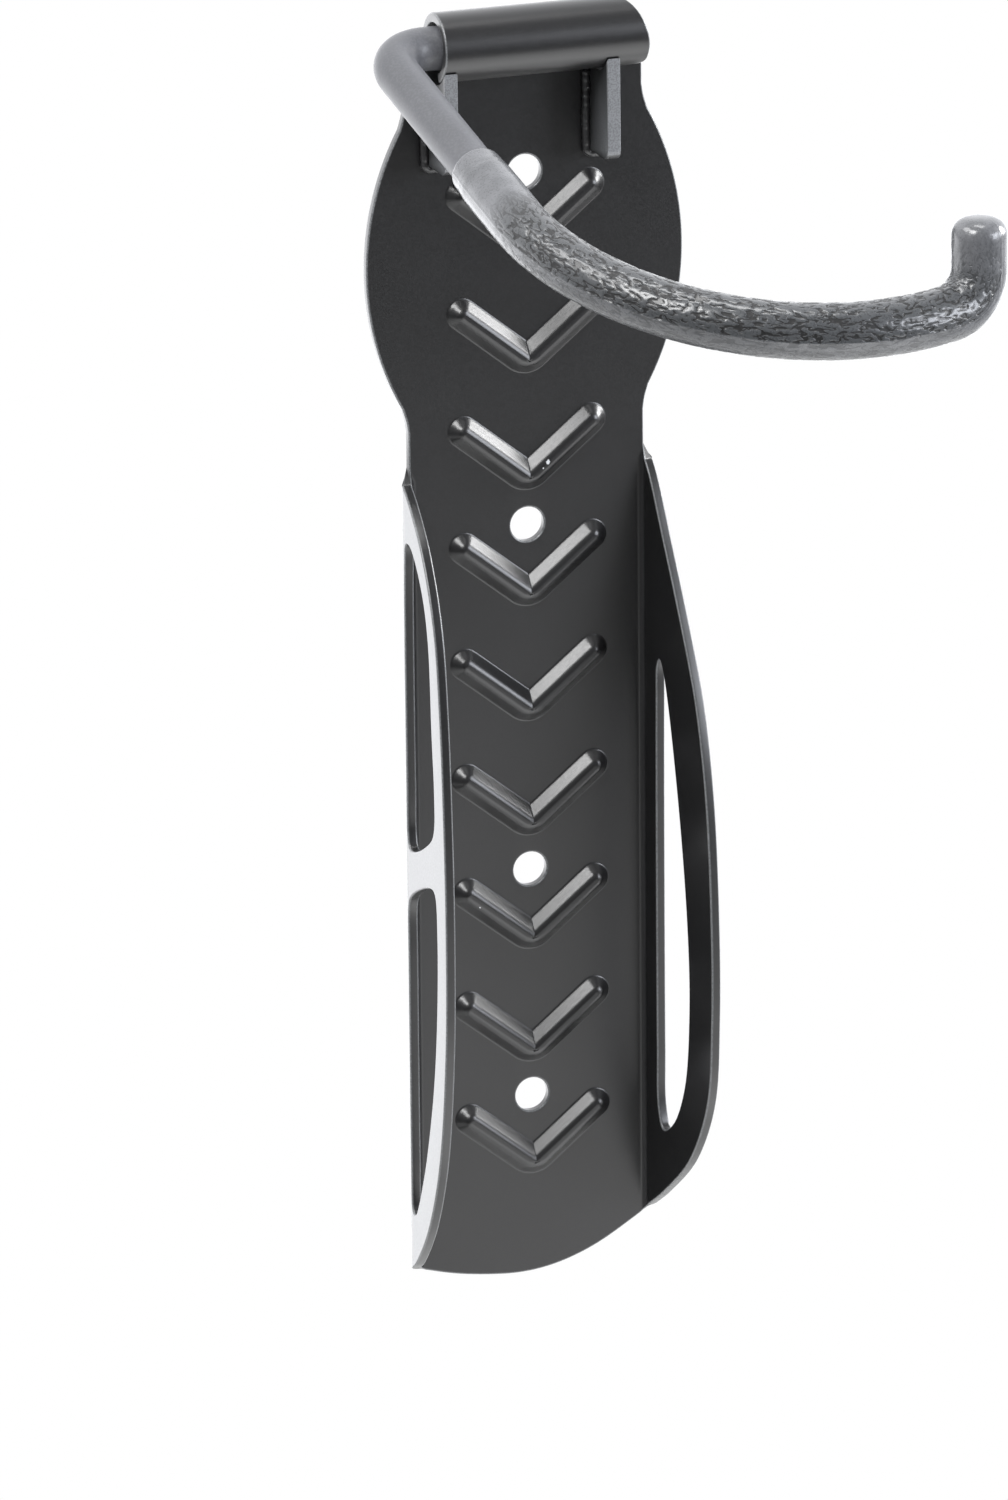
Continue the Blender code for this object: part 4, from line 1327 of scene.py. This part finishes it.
@dataclass
class RodEndWeld(WeldBead):
    """The plug of weld that locks the rod in the barrel's right mouth."""

    girth: float = 1.15
    turns: float = 1.6
    steps: int = 90
    close_in: float = 0.82        # how far the spiral closes towards its middle
    climb: float = 0.25

    def build(self) -> None:
        """Lay a spiral of bead that fills the mouth behind the rod's end."""
        low, high = (Vector(p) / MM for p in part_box(self.node))
        centre = (low + high) / 2
        outer = (high.z - low.z) / 2 - self.girth
        line = []
        for k in range(self.steps + 1):
            share = k / self.steps
            a = 2 * math.pi * self.turns * share
            r = outer * (1 - self.close_in * share)
            line.append(Vector((low.x + self.girth + self.climb * share,
                                centre.y + r * math.cos(a), centre.z + r * math.sin(a))))
        self.sweep(line)


# ---------------------------------------------------------------- the studio
@dataclass
class Studio:
    """Pale floor, soft daylight from behind and above, soft boxes and the camera."""

    target: tuple[float, float, float] = (-4.679, 0.0, -21.457)
    azimuth: float = 20.0
    elevation: float = 18.0
    distance: float = 2000.0
    roll: float = -0.5304
    lens: float = 240.66
    floor_drop: float = 1.25
    floor_half: float = 2.1
    # each soft box: name, place, aim, width and height in metres, power in watts, tint
    boxes: tuple[tuple, ...] = (
        ("front_low_box", (0.18, -0.46, -0.42), (0.0, 0.0, -0.1), (0.7, 0.54), 1.35, "#FFFFFF"),
        ("overhead_box", (0.05, -0.06, 1.35), (0.0, -0.1, 0.1), (0.55, 0.28), 5.0, "#FFFFFF"),
        ("high_left_box", (-0.78, 0.02, 1.06), (0.0, 0.0, 0.0), (0.5, 0.5), 6.0, "#FFFFFF"),
        ("key_box", (-0.7, -0.6, 0.98), (0.0, 0.0, 0.0), (0.5, 0.5), 12.0, "#FFFFFF"),
        ("right_box", (1.22, -0.04, 0.46), (0.0, 0.0, 0.0), (0.42, 0.62), 17.0, "#FFFFFF"),
        ("window_box", (0.93, -0.95, 0.4), (0.05, 0.0, 0.0), (0.62, 0.6), 11.5, "#F2F6FF"))

    def camera(self) -> None:
        """Create the camera and make it the scene's own."""
        az, el = math.radians(self.azimuth), math.radians(self.elevation)
        forward = Vector((math.sin(az) * math.cos(el), math.cos(az) * math.cos(el),
                          -math.sin(el)))
        right = Vector((math.cos(az), -math.sin(az), 0.0))
        up = right.cross(forward)
        turn = math.radians(self.roll)
        right, up = (right * math.cos(turn) + up * math.sin(turn),
                     up * math.cos(turn) - right * math.sin(turn))
        where = Vector(self.target) * MM - forward * self.distance * MM
        data = bpy.data.cameras.new("rack_camera")
        data.sensor_fit = "VERTICAL"
        data.sensor_height = 36.0
        data.lens = self.lens
        data.clip_end = 50.0
        camera = bpy.data.objects.new("rack_camera", data)
        frame_axes = Matrix((right, up, -forward)).transposed().to_4x4()
        camera.matrix_world = Matrix.Translation(where) @ frame_axes
        bpy.context.scene.collection.objects.link(camera)
        bpy.context.scene.camera = camera

    def light(self, name: str, at: Point3, aim: Point3, size: Point2, power: float,
              tint: str) -> None:
        """A soft box.

        Args:
            name: its name.
            at: its place in metres.
            aim: the point it faces.
            size: its width and height in metres.
            power: its power in watts.
            tint: its colour.
        """
        data = bpy.data.lights.new(name, "AREA")
        data.shape = "RECTANGLE"
        data.size, data.size_y = size
        data.energy = power
        data.color = linear(tint)[:3]
        box = bpy.data.objects.new(name, data)
        way = (Vector(aim) - Vector(at)).normalized()
        box.matrix_world = Matrix.Translation(Vector(at)) @ way.to_track_quat(
            "-Z", "Y").to_matrix().to_4x4()
        box.visible_camera = False
        bpy.context.scene.collection.objects.link(box)

    def sky(self) -> None:
        """The white room: plain white to look at, brighter behind the rack than in front."""
        world = bpy.data.worlds.new("white_room")
        bpy.context.scene.world = world
        world.use_nodes = True
        tree = world.node_tree
        tree.nodes.clear()
        way = add(tree, "ShaderNodeTexCoord").outputs["Generated"]
        axes = add(tree, "ShaderNodeSeparateXYZ", None, {0: way}).outputs
        behind = ramp(tree, axes[1], -0.25, 0.75)
        above = ramp(tree, axes[2], -0.25, 0.3)
        left = maths(tree, "MULTIPLY", ramp(tree, axes[0], -0.25, -0.85),
                     ramp(tree, axes[1], -0.65, 0.2))
        glow = maths(tree, "MULTIPLY", behind, maths(tree, "MULTIPLY_ADD", above, -1.6, 2.9))
        right = maths(tree, "MULTIPLY", ramp(tree, axes[0], 0.5, 0.9),
                      ramp(tree, axes[2], -0.6, 0.0))
        glow = maths(tree, "MAXIMUM", glow, maths(tree, "MULTIPLY", left, 0.55))
        glow = maths(tree, "MAXIMUM", glow, maths(tree, "MULTIPLY", right, 1.2))
        glow = maths(tree, "MULTIPLY_ADD", above, 0.25, maths(tree, "ADD", glow, 0.05))
        soft = add(tree, "ShaderNodeBackground", None,
                   {"Color": linear("#FBFCFF"), "Strength": glow})
        plain = add(tree, "ShaderNodeBackground", None,
                    {"Color": (1.0, 1.0, 1.0, 1.0), "Strength": 1.0})
        seen = add(tree, "ShaderNodeLightPath").outputs["Is Camera Ray"]
        mix = add(tree, "ShaderNodeMixShader", None,
                  {0: seen, 1: soft.outputs[0], 2: plain.outputs[0]})
        end = add(tree, "ShaderNodeOutputWorld")
        tree.links.new(mix.outputs[0], end.inputs["Surface"])

    def floor(self) -> None:
        """The pale floor that the rack hangs above."""
        half, z = self.floor_half, -self.floor_drop
        mesh = bpy.data.meshes.new("pale_floor")
        mesh.from_pydata([(-half, -half, z), (half, -half, z), (half, half, z),
                          (-half, half, z)], [], [(0, 1, 2, 3)])
        sheet = bpy.data.objects.new("pale_floor", mesh)
        bpy.context.scene.collection.objects.link(sheet)
        mesh.materials.append(FloorPaper("matt_backdrop_paper", "#F4F4F2", 0.9).build())

    def build(self) -> None:
        """Set up the studio."""
        bpy.context.scene.view_settings.view_transform = "Standard"
        self.camera()
        self.sky()
        self.floor()
        for box in self.boxes:
            self.light(*box)


def main() -> None:
    """Build the rack piece by piece, then the studio."""
    logging.basicConfig(level=logging.INFO, format="%(name)s: %(message)s")
    plate_coat = PowderCoat("satin_black_polyester_powder_coat", "#151516", 0.32,
                            chips=((3.6, -4.2, 38.6, 0.75), (2.6, -4.0, 37.4, 0.45),
                                   (-11.6, -4.2, -52.6, 0.4))).build()
    rod_coat = PowderCoat("coated_round_steel_bar", "#55565A", 0.5, coat=0.25, grain=0.5,
                          grain_height=0.004, peel_height=0.003).build()
    weld_coat = WeldCoat("powder_coated_weld_bead", "#202021", 0.4, peel=1.2,
                         peel_height=0.05).build()
    vinyl = SoftVinyl("dipped_plastisol_vinyl", "#3F4143", 0.3).build()
    # the ribs get a lighter copy of the plate's black coat: painted light, standing in for the
    # light on their faces and front edges
    rib_coat_painted_lighter = PowderCoat("rib_powder_coat_painted_lighter", "#2C2D2E", 0.4, peel=1.6,
                          peel_height=0.02, grain_height=0.006,
                          thin_coat_and_highlight_colour="#85878A").build()
    BackPlate(plate_coat).build()
    for name in ("gusset_left", "gusset_right"):
        Gusset(name, rib_coat_painted_lighter).build()
        GussetWeld(name + "_weld", weld_coat, gusset=name).build()
    route = HookRoute()
    HookRod(rod_coat, route).build()
    HookSleeve(vinyl, route).build()
    RodEndWeld("rod_end_weld", weld_coat).build()
    Studio().build()


if __name__ == "__main__":
    main()
